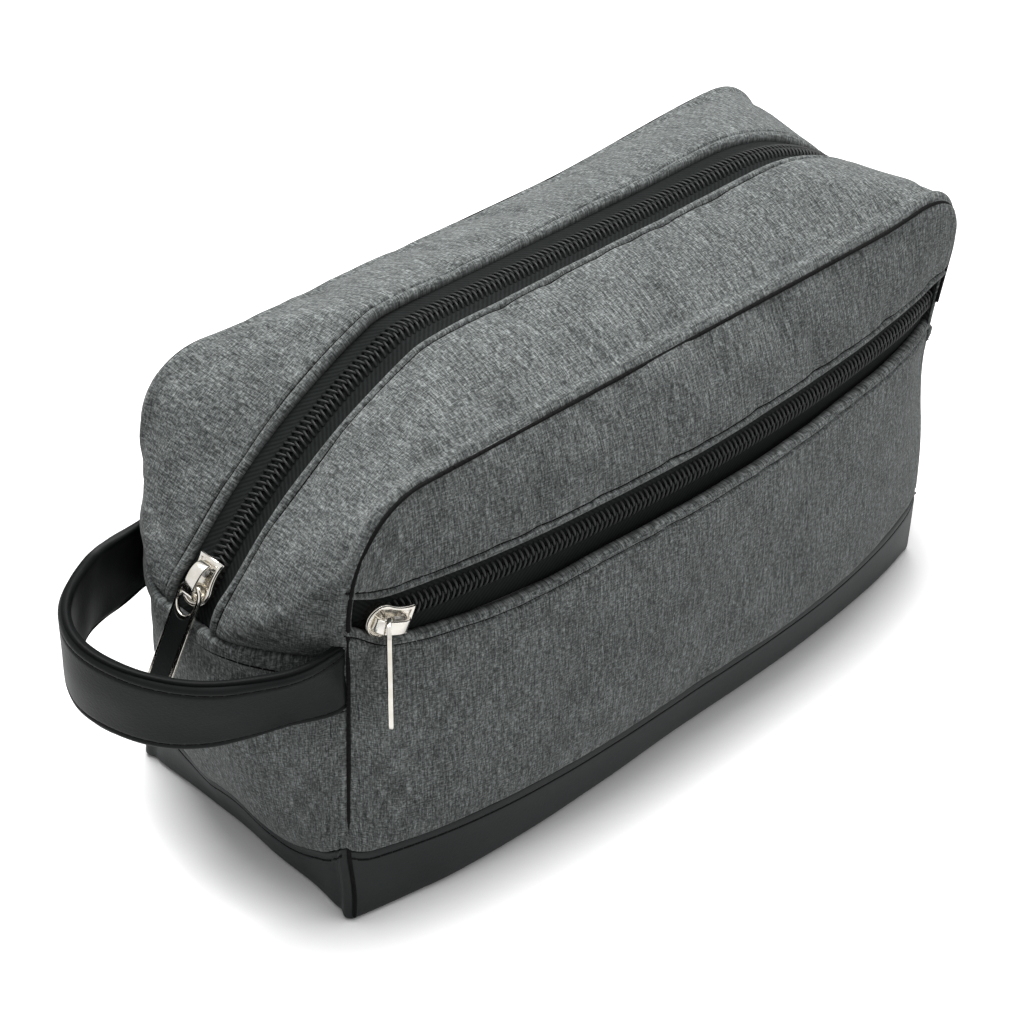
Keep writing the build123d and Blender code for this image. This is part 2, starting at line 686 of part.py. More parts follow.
def carry_loop(bag):
    """Layers of the swinging loop and its two ends, sewn into the corner seams."""
    pieces = {}
    for name, low, high in STRAP_LAYERS:
        pieces[name] = loop_layer(low, high) - swing_drum(SWING_RADIUS + SWING_GAP)
    ends = loop_layer(0, STRAP_THICK) & swing_drum(SWING_RADIUS)
    for piece in bag:
        ends -= piece
    pieces["handle_end_front"] = ends & between(0, FAR, -FAR, 0, -FAR, -HALF)
    pieces["handle_end_rear"] = ends & between(0, FAR, 0, FAR, -FAR, -HALF)
    return pieces


def build():
    """Every piece by name."""
    pieces = {}
    pieces.update(front_panels())
    pieces.update(rear_panels())
    pieces.update(gusset_panels())
    shell = [pieces[name] for name in ("front_pocket_panel", "rear_panel", "left_end_panel")]
    shell += [pieces["gusset_front"], pieces["gusset_rear"]]
    pieces.update(carry_loop(shell))
    pieces["base_panel"] = base_slab()
    pieces["base_board"] = base_board()
    pieces["main_lining"] = main_lining()
    pieces["pocket_lining"] = pocket_lining()
    pieces["front_seam_binding"] = seam_binding(-1)
    pieces["rear_seam_binding"] = seam_binding(1)
    pieces.update(main_tapes())
    pieces.update(main_teeth())
    pieces.update(pocket_tapes())
    pieces.update(pocket_teeth())
    pieces.update(sliders())
    return pieces


def solids_of(piece):
    """Solids of a piece, whether it is one shape or a list of them."""
    if isinstance(piece, (list, tuple, ShapeList)):
        return [solid for one in piece for solid in one.solids()]
    return piece.solids()


def main():
    os.makedirs("parts", exist_ok=True)
    for name, piece in build().items():
        export_step(Compound(children=solids_of(piece)), f"parts/{name}.step")
    arc = ZIP_ARC_CENTRE
    plane = slider_plane_main()
    hinge = plane.origin + plane.x_dir * MAIN_HINGE[0] + plane.z_dir * MAIN_HINGE[1]
    print("main slider turns about", arc)
    print("main pull turns about", hinge)
    print("pocket slider turns about", (0, BAND_CENTRE), "radius", BAND_RADIUS)
    print("pocket pull turns about", pocket_hinge(), "along", slider_plane_pocket().x_dir)
    print("loop turns about", (SWING_X, STRAP_MID))


main()
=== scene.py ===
import bpy
import bmesh
import math
import numpy as np
from mathutils import Matrix, Vector, noise


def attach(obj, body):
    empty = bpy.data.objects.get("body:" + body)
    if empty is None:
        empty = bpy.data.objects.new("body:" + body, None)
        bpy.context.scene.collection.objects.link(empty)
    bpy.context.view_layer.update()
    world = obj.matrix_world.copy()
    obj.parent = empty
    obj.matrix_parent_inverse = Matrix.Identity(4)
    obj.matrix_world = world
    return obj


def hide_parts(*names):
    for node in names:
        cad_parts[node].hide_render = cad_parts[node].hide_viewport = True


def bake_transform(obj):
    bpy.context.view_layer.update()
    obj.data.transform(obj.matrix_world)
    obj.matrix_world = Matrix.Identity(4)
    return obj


# Toiletry bag: padded heather fabric, black leather-look trim, nylon coil zips.
# Sizes below are in millimetres in the frame's axes; a mesh is made in metres.

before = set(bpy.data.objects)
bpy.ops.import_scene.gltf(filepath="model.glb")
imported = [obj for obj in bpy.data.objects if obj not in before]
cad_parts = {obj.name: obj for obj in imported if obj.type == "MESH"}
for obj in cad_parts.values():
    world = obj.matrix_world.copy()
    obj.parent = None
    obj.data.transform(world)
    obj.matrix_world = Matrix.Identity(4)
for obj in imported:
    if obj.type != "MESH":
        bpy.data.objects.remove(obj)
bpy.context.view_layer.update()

MM = 0.001
BAG_CENTRE = (0, 0, 60)         # a place inside, which tells outwards from inwards
LENGTH = 220.0                  # between the end seams
SIDE = 38.5                     # front and rear seam, from the middle
SEAM_PLANE = 37.2               # where the gusset ends
SEAM_TOP = 124.0
SEAM_RADIUS = 21.0
CROWN = 135.0
TRIM_TOP = 18.5
TRIM_CLIMB = 3.2                # of the trim's upper edge into the corners
CROSS_SEAM = 80.0
CROSS_LAP = 2.5                 # of the end panel over the gusset
CROSS_TOP = CROSS_SEAM + 1.0    # upper edge of the end panel
CROSS_STITCH = 4.2
FABRIC = 1.5
TRIM_SKIN = (1.3, 0.35)         # the trim's thickness, and how much it lies uneven
HALF = LENGTH / 2
STRIP_HALF = 9.0                # flat strip each side of the main zip's middle
STRIP_POWER = 1.45              # how the outline changes from there to the seams
SLOT_HALF = 7.5                 # half the gap in the fabric along the main zip
BAND_LOW = 83.5                 # fabric edges along the pocket zip
BAND_HIGH = 96.5
BAND_MID = (BAND_LOW + BAND_HIGH) / 2
BAND_SAG = 11.4
BAND_RADIUS = (HALF ** 2 + BAND_SAG ** 2) / (2 * BAND_SAG)
BAND_CENTRE = BAND_RADIUS - SIDE - BAND_SAG
TAPE_DEPTH = 1.9
POCKET_DEPTH = 2.4
ZIP_ARC_CENTRE = (-12.3, 5.0)
ZIP_ARC_RADIUS = 139.0
ZIP_ARC_START = 146.2
ZIP_ARC_END = 112.0
SLIDER_ANGLE = 142.6            # place of the main slider on the arc, degrees
POCKET_SLIDER_X = -98.5
BELLY = 14.5
BELLY_LEVEL = 55.0
BELLY_DROP = 5.8
BELLY_SQUARE = 75.0
BELLY_POWER = (2.0, 1.4)        # of its plan at and above that height, and how much more at the floor

# Sewing details
STITCH_INSET = 2.3              # topstitching, from a turned edge
FOLD_RISE = 0.35
FOLD_RIDGE = (1.15, 0.9)        # where a fold stands highest, and how far it reaches
FOLD_SINK = (1.1, 0.9)          # how far an edge rolls over, and how deep
SEAM_SINK = (1.2, 2.2)
WELT_EDGE = 38.6                # the gusset and ends roll out this far over the front and rear
WELT_RISE = 0.8
WELT_RIDGE = (1.6, 1.3)
WELT_SINK = (1.3, 0.9)
WELT_GROOVE = (4.0, 0.9, 0.35)  # place, half width and depth
TRIM_SINK = (1.6, 1.0)
FOOT_SINK = (1.6, 0.9)
CROSS_SINK = (1.0, 1.2)
CLOTH_GROOVE = (0.40, 0.80)     # half width and depth that stitches press into padding
TRIM_GROOVE = (0.4, 0.3)
CROSS_GROOVE = (0.45, 0.7)
STRAP_GROOVE = (0.45, 0.35)
COIL_PITCH = 1.6
STITCH_PITCH = 3.1
STITCH_STOP = 2.6               # from a seam to the last stitch
STITCH = (STITCH_PITCH * 0.46, 0.30)        # half a stitch, and the thread's radius
STRAP_STITCH = (STITCH_PITCH * 0.40, 0.26)
SEAM_SHADE_LINE = (1.0, 38.9, 0.55)   # dark thread in a seam, painted shade that stands in for the seam's shadow: inset, depth and radius
SEAM_SHADE_THREAD = (1.6, 1.0, 0.4)   # its pitch, half length, and how far its handles reach

# Camera, from the photograph's corners and seams
CAMERA_AZIMUTH = -45.70
CAMERA_ELEVATION = 37.33
CAMERA_ROLL = 2.43
CAMERA_DISTANCE = 723.6
CAMERA_TARGET = (-10.9, 8.8, 48.0)
CAMERA_LENS = 93.69


# Outline of the bag seen from the front

def arc_curve(centre, radius, start, end):
    """Control points of a short circular arc, after its first point."""
    a, b = math.radians(start), math.radians(end)
    reach = 4 / 3 * math.tan((b - a) / 4) * radius
    first = (centre[0] + radius * math.cos(a), centre[1] + radius * math.sin(a))
    last = (centre[0] + radius * math.cos(b), centre[1] + radius * math.sin(b))
    return [
        (first[0] - reach * math.sin(a), first[1] + reach * math.cos(a)),
        (last[0] + reach * math.sin(b), last[1] - reach * math.cos(b)),
        last,
    ]


def line_curve(first, last):
    """Control points of a straight run, after its first point."""
    return [
        tuple(first[i] + (last[i] - first[i]) * share for i in range(2))
        for share in (1 / 3, 2 / 3, 1)
    ]


def seam_half():
    """Control points of the end seam's outline, base to the top's middle."""
    foot = (-HALF, 0.0)
    shoulder = (-HALF, SEAM_TOP - SEAM_RADIUS)
    corner = (-HALF + SEAM_RADIUS, SEAM_TOP - SEAM_RADIUS)
    points = [foot]
    points += line_curve(foot, shoulder)
    points += arc_curve(corner, SEAM_RADIUS, 180, 170)
    points += arc_curve(corner, SEAM_RADIUS, 170, 90)
    points += line_curve((corner[0], SEAM_TOP), (0.0, SEAM_TOP))
    return points


def zip_half_left():
    """Control points along the zip at the left: bulging end, slanted arc, crown."""
    arc = arc_curve(ZIP_ARC_CENTRE, ZIP_ARC_RADIUS, ZIP_ARC_START, ZIP_ARC_END)
    first = arc_curve(ZIP_ARC_CENTRE, ZIP_ARC_RADIUS, ZIP_ARC_END, ZIP_ARC_START)[-1]
    points = [(-113.5, 0.0), (-118.5, 20.0), (-128.6, 45.0), (-128.6, 77.5)]
    points += [(-128.6, 79.2), (first[0] - 0.8, first[1] - 1.2), first]
    points += arc
    points += [(arc[-1][0] + 5.3, arc[-1][1] + 1.9), (-44.0, CROWN), (0.0, CROWN)]
    return points


def zip_half_right():
    """Control points along the zip at the right, where the shoulder is fuller."""
    points = [(113.5, 0.0), (118.5, 20.0), (127.0, 45.0), (127.0, 77.5)]
    points += [(127.0, 78.8), (126.9, 80.0), (126.6, 81.0)]
    points += [(119.0, 109.5), (86.0, 130.5), (60.0, 133.4)]
    points += [(44.0, 135.1), (22.0, CROWN), (0.0, CROWN)]
    return points


def trace(points, steps=90):
    """Dense line through a chain of cubic curves."""
    spans = []
    u = np.linspace(0, 1, steps, endpoint=False)[:, None]
    chain = np.array(points)
    for i in range(0, len(points) - 1, 3):
        a, b, c, d = chain[i:i + 4]
        spans.append(a * (1 - u) ** 3 + 3 * b * u * (1 - u) ** 2 + 3 * c * u ** 2 * (1 - u) + d * u ** 3)
    return np.vstack(spans + [chain[-1:]])


SEAM_LEFT = trace(seam_half())
SEAM_RIGHT = SEAM_LEFT * np.array([-1.0, 1.0])
ZIP_LEFT = trace(zip_half_left())
ZIP_RIGHT = trace(zip_half_right())


def hoop(y, end=0):
    """Outline of the bag at a depth: left half, right half, or both from left to right."""
    reach = min(1.0, max(0.0, (abs(y) - STRIP_HALF) / (SEAM_PLANE - STRIP_HALF)))
    w = 1 - reach ** STRIP_POWER
    left = SEAM_LEFT * (1 - w) + ZIP_LEFT * w
    right = SEAM_RIGHT * (1 - w) + ZIP_RIGHT * w
    if end < 0:
        return left
    if end > 0:
        return right
    return np.vstack([left, right[::-1][1:]])


def along(line):
    """Distance along a line at each of its points."""
    steps = np.linalg.norm(np.diff(line, axis=0), axis=1)
    return np.concatenate([[0.0], np.cumsum(steps)])


def sample(line, places):
    """Points of a line at distances along it."""
    run = along(line)
    return np.stack([np.interp(places, run, line[:, k]) for k in range(line.shape[1])], axis=1)


def unit(vectors):
    """Vectors brought to length 1."""
    return vectors / np.maximum(np.linalg.norm(vectors, axis=-1, keepdims=True), 1e-9)


def beside(line):
    """Directions a quarter turn to the right of a flat line."""
    tangent = unit(np.gradient(line, axis=0))
    return np.stack([tangent[:, 1], -tangent[:, 0]], axis=1)


def at_depth(line, y):
    """Points in space of an outline that stands at a depth."""
    return np.stack([line[:, 0], np.full(len(line), y), line[:, 1]], axis=1)


def smooth(value, low, high):
    """Even step from 0 to 1 between two values."""
    t = np.clip((value - low) / (high - low), 0, 1)
    return t * t * (3 - 2 * t)


def swell(value, place, reach):
    """Smooth bump of height 1 about a place."""
    return np.exp(-((value - place) / reach) ** 2)


# How the filled bag stands out of true

SHOULDER_RISE = 6.0             # the right shoulder is fuller than the pattern
SHOULDER_SPAN = (22.0, 92.0)
SHOULDER_LEVEL = (70.0, 112.0)
SHOULDER_ROUND = 24.0           # from the front seam to where it is full
SHOULDER_SHARE = (0.56, 0.14)   # how much of it the zip gets, and how much more the rear
SHOULDER_REAR = (0, 35)
SHOULDER_PUSH = 0.25            # outwards, as a share of the rise
REAR_CORNER = ((-103.0, 35.0, 117.0), 17.0, 3.0, -0.6, 0.7)
FRONT_CORNER = ((104.0, -36.0, 117.0), 16.0, 4.0, 0.35, 0.9)
SEAM_LEAN = (-2.0, 1.2)         # the left front seam draws back
SEAM_LEAN_REACH = 20.0
SEAM_LEAN_LEVEL = (4, 22, 92, 116)
FOOT_HEIGHT = 14.0              # how far up the left foot's spread reaches
FOOT_START = 90.0
FOOT_FLARE = (2.6, 10.0)        # the left front foot spreads on the floor: how far, and its reach
FLARE_SHARE = (1.4, 0.5)        # of it along the bag, and across
REAR_FOOT = (4.0, 12.0)         # and the left rear foot
REAR_SHARE = 0.7
END_FLAT = (1.8, 4, 18.0)       # and between them the end bulges less than the pattern
FRONT_FOOT = 3.4                # the front's foot spreads too, most of all towards the left
FRONT_HEIGHT = 16.0
FRONT_SPAN = (-10, 100)
FRONT_DEPTH = (18, 38)
FRONT_EASE = (0.62, 14.0)       # less so at the corner: how much, and its reach
WAIST_PINCH = 6.0               # the right front seam draws in at half height
WAIST_PLACE = (74.0, 27.0)
WAIST_SPAN = 25
WAIST_DEPTH = (5, 30)


def slouch(points):
    """Moves points of the shell to where the filled bag really stands."""
    p = np.array(points, dtype=float)
    x, y, z = p[..., 0].copy(), p[..., 1].copy(), p[..., 2].copy()
    across = np.sin(np.pi / 2 * np.clip((y + SIDE) / SHOULDER_ROUND, 0, 1))
    across = across * (SHOULDER_SHARE[0] + SHOULDER_SHARE[1] * smooth(y, *SHOULDER_REAR))
    rise = SHOULDER_RISE * smooth(x, *SHOULDER_SPAN) * smooth(z, *SHOULDER_LEVEL) * across
    p[..., 2] += rise
    p[..., 0] += SHOULDER_PUSH * rise
    for place, reach, size, out, up in (REAR_CORNER, FRONT_CORNER):
        away = np.sqrt((x - place[0]) ** 2 + (y - place[1]) ** 2 + (z - place[2]) ** 2)
        corner = size * swell(away, 0, reach)
        p[..., 0] += out * corner
        p[..., 2] += up * corner
    near = np.exp(-((x + HALF) ** 2 + (y + SIDE) ** 2) / SEAM_LEAN_REACH ** 2)
    near = near * smooth(z, *SEAM_LEAN_LEVEL[:2]) * (1 - smooth(z, *SEAM_LEAN_LEVEL[2:]))
    p[..., 0] += SEAM_LEAN[0] * near
    p[..., 1] += SEAM_LEAN[1] * near
    low = swell(z, 0, FOOT_HEIGHT) * smooth(-x, FOOT_START, HALF)
    flare = FOOT_FLARE[0] * low * swell(y, -SIDE, FOOT_FLARE[1])
    back = REAR_FOOT[0] * low * swell(y, SIDE, REAR_FOOT[1])
    p[..., 0] += END_FLAT[0] * low * swell(y, *END_FLAT[1:]) - FLARE_SHARE[0] * flare - REAR_SHARE * back
    p[..., 1] += back - FLARE_SHARE[1] * flare
    spread = smooth(-x, *FRONT_SPAN) * (1 - FRONT_EASE[0] * swell(x, -HALF, FRONT_EASE[1]))
    p[..., 1] -= FRONT_FOOT * spread * swell(z, 0, FRONT_HEIGHT) * smooth(-y, *FRONT_DEPTH)
    pinch = WAIST_PINCH * swell(z, *WAIST_PLACE) * smooth(x, HALF - WAIST_SPAN, HALF)
    p[..., 0] -= pinch * smooth(-y, *WAIST_DEPTH)
    return p


# Grids and their edges

FINE = (0.0, 0.25, 0.5, 0.8, 1.1, 1.4, 1.7, 1.95, 2.15, 2.3, 2.45, 2.65, 2.9, 3.3, 3.9, 4.6)
FACE_STEP = 1.5
END_STEP = 1.4
STRAP_STEP = 1.2


def spaced(length, step):
    """Distances over a length, close together at both ends where edges are sewn."""
    middle = np.linspace(FINE[-1], length - FINE[-1], max(3, int((length - 2 * FINE[-1]) / step)))
    return np.concatenate([FINE[:-1], middle, length - np.array(FINE[:-1])[::-1]])


def sink(d, round_over, depth):
    """Height of an edge that rolls inwards, at a distance from it."""
    t = 1 - np.clip(d / round_over, 0, 1)
    return -depth * (1 - np.sqrt(np.clip(1 - t ** 2, 0, 1)))


def groove(d, place, width, depth):
    """Height of a sewn groove across a distance."""
    return -depth * swell(d, place, width)


def turned_edge(d):
    """Height across a turned and topstitched fabric edge."""
    return FOLD_RISE * swell(d, *FOLD_RIDGE) + sink(d, *FOLD_SINK) + groove(d, STITCH_INSET, *CLOTH_GROOVE)


def seam_edge(d):
    """Height across an edge sewn under its neighbour."""
    return sink(d, *SEAM_SINK)


def welt_edge(d):
    """Height across the rolled edge that stands over a seam."""
    return WELT_RISE * swell(d, *WELT_RIDGE) + sink(d, *WELT_SINK) + groove(d, *WELT_GROOVE)


def trim_edge(d):
    """Height across the topstitched upper edge of the trim."""
    return sink(d, *TRIM_SINK) + groove(d, STITCH_INSET, *TRIM_GROOVE)


def foot_edge(d):
    """Height across the trim's lower edge, which turns under the bag."""
    return sink(d, *FOOT_SINK)


def far_edge(d):
    """No shaping: the edge lies under its neighbour."""
    return np.zeros_like(d)


def cross_fold(d):
    """Height across the folded upper edge of an end panel, which laps over the gusset."""
    lap = 1.3 * np.exp(-np.clip(d - 2.6, 0, None) ** 2 / 5.0)
    return lap + sink(d, *CROSS_SINK) + groove(d, CROSS_STITCH, *CROSS_GROOVE)


def normals_of(grid, centre=BAG_CENTRE):
    """Outward unit normals of a grid of points."""
    n = unit(np.cross(np.gradient(grid, axis=0), np.gradient(grid, axis=1)))
    if np.sum(n * (grid - np.array(centre))) < 0:
        n = -n
    return n


def rumple(grid, amount, size, seed):
    """Smooth uneven height over a grid."""
    flat = grid.reshape(-1, 3) / size
    values = [noise.noise(Vector(p) + Vector((seed, seed * 0.7, -seed))) for p in flat]
    return amount * np.array(values).reshape(grid.shape[:2])


BROAD_LAY = (1.0, 46.0)         # height and size of the padding's broad hollows
FINE_LAY = (0.25, 15.0)
SIM_SPACING = 4.0               # of the simulated cloth's points
SIM_SCALE = 0.01                # its metres for one millimetre, so that the solver is at ease
SIM_FRAMES = 16
SIM_SLACK = 0.012               # how much longer the cloth is than its pattern
SIM_PRESSURE = 0.8
SIM_CAP = 1.1                   # of the height that the cloth may stand up
SIM_LEAST = 0.5                 # a panel that lies less uneven than this isn't simulated


def placed(name, data):
    """New object of a mesh, a curve, a lamp or a camera."""
    holder = bpy.data.objects.new(name, data)
    bpy.context.scene.collection.objects.link(holder)
    return holder


def taken_mesh(holder):
    """Mesh that an object's modifiers end in; the object itself is removed."""
    bpy.context.view_layer.update()
    depsgraph = bpy.context.evaluated_depsgraph_get()
    mesh = bpy.data.meshes.new_from_object(holder.evaluated_get(depsgraph))
    bpy.data.objects.remove(holder)
    return mesh


def cubic_weights(count, places):
    """Weights that read a smooth curve through evenly spaced values."""
    weights = np.zeros((len(places), count))
    base = np.clip(np.floor(places).astype(int), 0, count - 2)
    t = places - base
    shares = (
        -0.5 * t + t ** 2 - 0.5 * t ** 3, 1 - 2.5 * t ** 2 + 1.5 * t ** 3,
        0.5 * t + 2 * t ** 2 - 1.5 * t ** 3, -0.5 * t ** 2 + 0.5 * t ** 3,
    )
    for step, share in zip((-1, 0, 1, 2), shares):
        spot = np.clip(base + step, 0, count - 1)
        np.add.at(weights, (np.arange(len(places)), spot), share)
    return weights


def simulated(coarse, n):
    """Points of a slack cloth that is sewn down along its edges and pressed outwards."""
    shape = coarse.shape[:2]
    index = np.arange(shape[0] * shape[1]).reshape(shape)
    corners = [index[:-1, :-1], index[1:, :-1], index[1:, 1:], index[:-1, 1:]]
    quads = np.stack(corners, axis=-1).reshape(-1, 4)
    if np.sum(np.cross(coarse[1, 0] - coarse[0, 0], coarse[0, 1] - coarse[0, 0]) * n[0, 0]) < 0:
        quads = quads[:, ::-1]
    mesh = bpy.data.meshes.new("slack_cloth")
    points = coarse.reshape(-1, 3) * SIM_SCALE
    mesh.from_pydata([tuple(p) for p in points], [], [tuple(q) for q in quads.tolist()])
    cloth = placed("slack_cloth", mesh)
    edge = np.concatenate([index[0], index[-1], index[:, 0], index[:, -1]])
    cloth.vertex_groups.new(name="sewn").add([int(i) for i in np.unique(edge)], 1.0, "REPLACE")
    modifier = cloth.modifiers.new("cloth", "CLOTH")
    settings = modifier.settings
    settings.vertex_group_mass = "sewn"
    settings.quality = 5
    settings.mass = 0.3
    settings.tension_stiffness = settings.compression_stiffness = 20
    settings.shear_stiffness = 8
    settings.bending_stiffness = 2.5
    settings.shrink_min = -SIM_SLACK
    settings.use_pressure = True
    settings.uniform_pressure_force = SIM_PRESSURE
    settings.effector_weights.gravity = 0
    modifier.collision_settings.use_collision = False
    for frame_number in range(1, SIM_FRAMES + 1):
        bpy.context.scene.frame_set(frame_number)
    result = taken_mesh(cloth)
    moved = np.zeros(len(result.vertices) * 3)
    result.vertices.foreach_get("co", moved)
    bpy.context.scene.frame_set(1)
    return moved.reshape(coarse.shape) / SIM_SCALE


def settled(grid):
    """Height over a panel of the cloth simulated on a coarser grid."""
    runs = [along(grid[:, grid.shape[1] // 2]), along(grid[grid.shape[0] // 2])]
    counts = [int(run[-1] / SIM_SPACING) + 1 for run in runs]
    places = [run / run[-1] * (count - 1) for run, count in zip(runs, counts)]
    nearest = [np.interp(np.arange(c), p, np.arange(len(p))) for c, p in zip(counts, places)]
    rows, cols = np.meshgrid(*[np.round(spots).astype(int) for spots in nearest], indexing="ij")
    coarse = grid[rows, cols]
    n = normals_of(coarse)
    height = np.sum((simulated(coarse, n) - coarse) * n, axis=2)
    height = SIM_CAP * np.tanh(height / SIM_CAP)
    return cubic_weights(counts[0], places[0]) @ height @ cubic_weights(counts[1], places[1]).T


def cloth_lay(grid, seed, amount=1.0):
    """Soft hollows and swells of padded fabric, and the wrinkles of its slack."""
    lay = rumple(grid, BROAD_LAY[0] * amount, BROAD_LAY[1], seed)
    lay = lay + rumple(grid, FINE_LAY[0] * amount, FINE_LAY[1], seed + 9)
    if amount < SIM_LEAST:
        return lay
    return lay + amount * settled(grid)


def grid_uv(grid):
    """Flat coordinates of a grid in metres, measured along its middle lines."""
    mid_i, mid_j = grid.shape[0] // 2, grid.shape[1] // 2
    rows = along(grid[:, mid_j])
    across = np.array([along(line) for line in grid])
    u = np.repeat(rows[:, None], grid.shape[1], axis=1)
    v = across - across[:, mid_j:mid_j + 1] + along(grid[mid_i])[mid_j]
    return np.stack([u, v], axis=2) * MM


def finish_mesh(name, mesh):
    """Object of a closed mesh, smooth and with its faces outwards."""
    work = bmesh.new()
    work.from_mesh(mesh)
    bmesh.ops.recalc_face_normals(work, faces=work.faces)
    work.to_mesh(mesh)
    work.free()
    mesh.shade_smooth()
    return placed(name, mesh)


def sheet_mesh(name, outer, thick, uv=None, normals=None):
    """Closed sheet of a thickness, from the grid of its outer face."""
    n = normals_of(outer) if normals is None else normals
    inner = outer - n * thick
    uv = grid_uv(outer) if uv is None else uv
    rows, cols = outer.shape[:2]
    count = rows * cols
    points = slouch(np.vstack([outer.reshape(-1, 3), inner.reshape(-1, 3)])) * MM

    def quads(offset):
        i, j = np.meshgrid(np.arange(rows - 1), np.arange(cols - 1), indexing="ij")
        a = (i * cols + j).ravel() + offset
        return np.stack([a, a + cols, a + cols + 1, a + 1], axis=1)

    border = list(range(cols))
    border += [i * cols + cols - 1 for i in range(1, rows)]
    border += [(rows - 1) * cols + j for j in range(cols - 2, -1, -1)]
    border += [i * cols for i in range(rows - 2, 0, -1)]
    ring = np.array(border)
    after = np.roll(ring, -1)
    rim = np.stack([ring, after, after + count, ring + count], axis=1)
    faces = np.vstack([quads(0), quads(count)[:, ::-1], rim])
    mesh = bpy.data.meshes.new(name)
    mesh.from_pydata([tuple(p) for p in points], [], [tuple(f) for f in faces])
    coordinates = np.vstack([uv.reshape(-1, 2)] * 2)
    layer = mesh.uv_layers.new(name="UVMap")
    layer.data.foreach_set("uv", coordinates[np.concatenate(faces)].astype(np.float32).ravel())
    return finish_mesh(name, mesh)


def panel(name, grid, height, thick, uv=None):
    """Closed sheet over a smooth grid that has a height on it, and its outer face."""
    n = normals_of(grid)
    shaped = grid + n * height[..., None]
    return sheet_mesh(name, shaped, thick, uv=grid_uv(grid) if uv is None else uv, normals=n), shaped


# Materials

def shader(name, colour, roughness, **extra):
    """Material with a plain principled shader, and its node tree."""
    material = bpy.data.materials.new(name)
    material.use_nodes = True
    tree = material.node_tree
    principled = tree.nodes["Principled BSDF"]
    principled.inputs["Base Color"].default_value = (*colour, 1)
    principled.inputs["Roughness"].default_value = roughness
    for key, value in extra.items():
        principled.inputs[key.replace("_", " ")].default_value = value
    return material, tree, principled


def add(tree, kind, inputs=None, **settings):
    """Node with its settings and input values."""
    node = tree.nodes.new(kind)
    for key, value in settings.items():
        setattr(node, key, value)
    for key, value in (inputs or {}).items():
        if isinstance(value, bpy.types.NodeSocket):
            tree.links.new(value, node.inputs[key])
        else:
            node.inputs[key].default_value = value
    return node


def flat_place(tree):
    """Where a point lies on the flat cloth, in metres."""
    return add(tree, "ShaderNodeUVMap", uv_map="UVMap").outputs["UV"]


def solid_place(tree):
    """Where a point lies in the piece, in metres."""
    return add(tree, "ShaderNodeTexCoord").outputs["Object"]


def grain(tree, place, scale, detail):
    """Even noise."""
    inputs = {"Vector": place, "Scale": scale, "Detail": detail}
    return add(tree, "ShaderNodeTexNoise", inputs).outputs["Fac"]


def stretched_noise(tree, place, scale, detail=2.0, seed=0.0, roughness=0.5):
    """Noise whose grain is longer one way than the other."""
    mapped = add(tree, "ShaderNodeMapping", {"Vector": place, "Scale": scale, "Location": (seed,) * 3})
    node = add(tree, "ShaderNodeTexNoise", {
        "Vector": mapped.outputs["Vector"], "Scale": 1.0, "Detail": detail, "Roughness": roughness,
    })
    return node.outputs["Fac"]


def waves(tree, place, scale, direction, distortion=0.0):
    """Bands that run one way."""
    inputs = {"Vector": place, "Scale": scale, "Distortion": distortion}
    return add(tree, "ShaderNodeTexWave", inputs, bands_direction=direction).outputs["Fac"]


def mixed(tree, a, b, share):
    """Blend of two values."""
    return add(tree, "ShaderNodeMix", {0: share, 2: a, 3: b}, data_type="FLOAT").outputs[0]


def maths(tree, operation, *values):
    """One arithmetic step."""
    return add(tree, "ShaderNodeMath", dict(enumerate(values)), operation=operation).outputs[0]


def varied(tree, principled, socket, value, *stops):
    """Drive the shader from a value through a ramp of colours, or of plain greys."""
    node = add(tree, "ShaderNodeValToRGB", {"Fac": value})
    elements = node.color_ramp.elements
    while len(elements) < len(stops):
        elements.new(0.5)
    for element, (place, colour) in zip(elements, stops):
        element.position = place
        element.color = (*colour, 1) if isinstance(colour, tuple) else (colour, colour, colour, 1)
    tree.links.new(node.outputs["Color"], principled.inputs[socket])


def bump(tree, principled, height, strength, distance):
    """Surface relief from a height."""
    node = add(tree, "ShaderNodeBump", {"Height": height, "Strength": strength, "Distance": distance})
    tree.links.new(node.outputs["Normal"], principled.inputs["Normal"])


def heather_fabric():
    """Two-tone plain weave: uneven dark and pale yarns both ways, with slubs."""
    material, tree, principled = shader(
        "heather_fabric", (0.2, 0.21, 0.21), 0.88,
        Sheen_Weight=0.12, Sheen_Roughness=0.6, Specular_IOR_Level=0.2)
    uv = flat_place(tree)
    warp = stretched_noise(tree, uv, (2700, 640, 1), 1.5, 0.0, 0.7)
    weft = stretched_noise(tree, uv, (640, 2700, 1), 1.5, 7.0, 0.7)
    slub = stretched_noise(tree, uv, (1500, 130, 1), 1.0, 3.0, 0.6)
    cloud = stretched_noise(tree, uv, (70, 45, 1), 2.0, 5.0)
    crossing = add(tree, "ShaderNodeTexChecker", {"Vector": uv, "Scale": 2100.0}).outputs["Fac"]
    yarns = mixed(tree, warp, weft, maths(tree, "MULTIPLY_ADD", crossing, 0.3, 0.34))
    yarns = mixed(tree, yarns, slub, 0.24)
    yarns = mixed(tree, yarns, cloud, 0.07)
    varied(
        tree, principled, "Base Color", yarns,
        (0.345, (0.014, 0.016, 0.016)), (0.46, (0.088, 0.097, 0.095)),
        (0.53, (0.195, 0.212, 0.208)), (0.665, (0.50, 0.54, 0.53)))
    bump(tree, principled, mixed(tree, crossing, yarns, 0.8), 0.5, 0.0005)
    return material


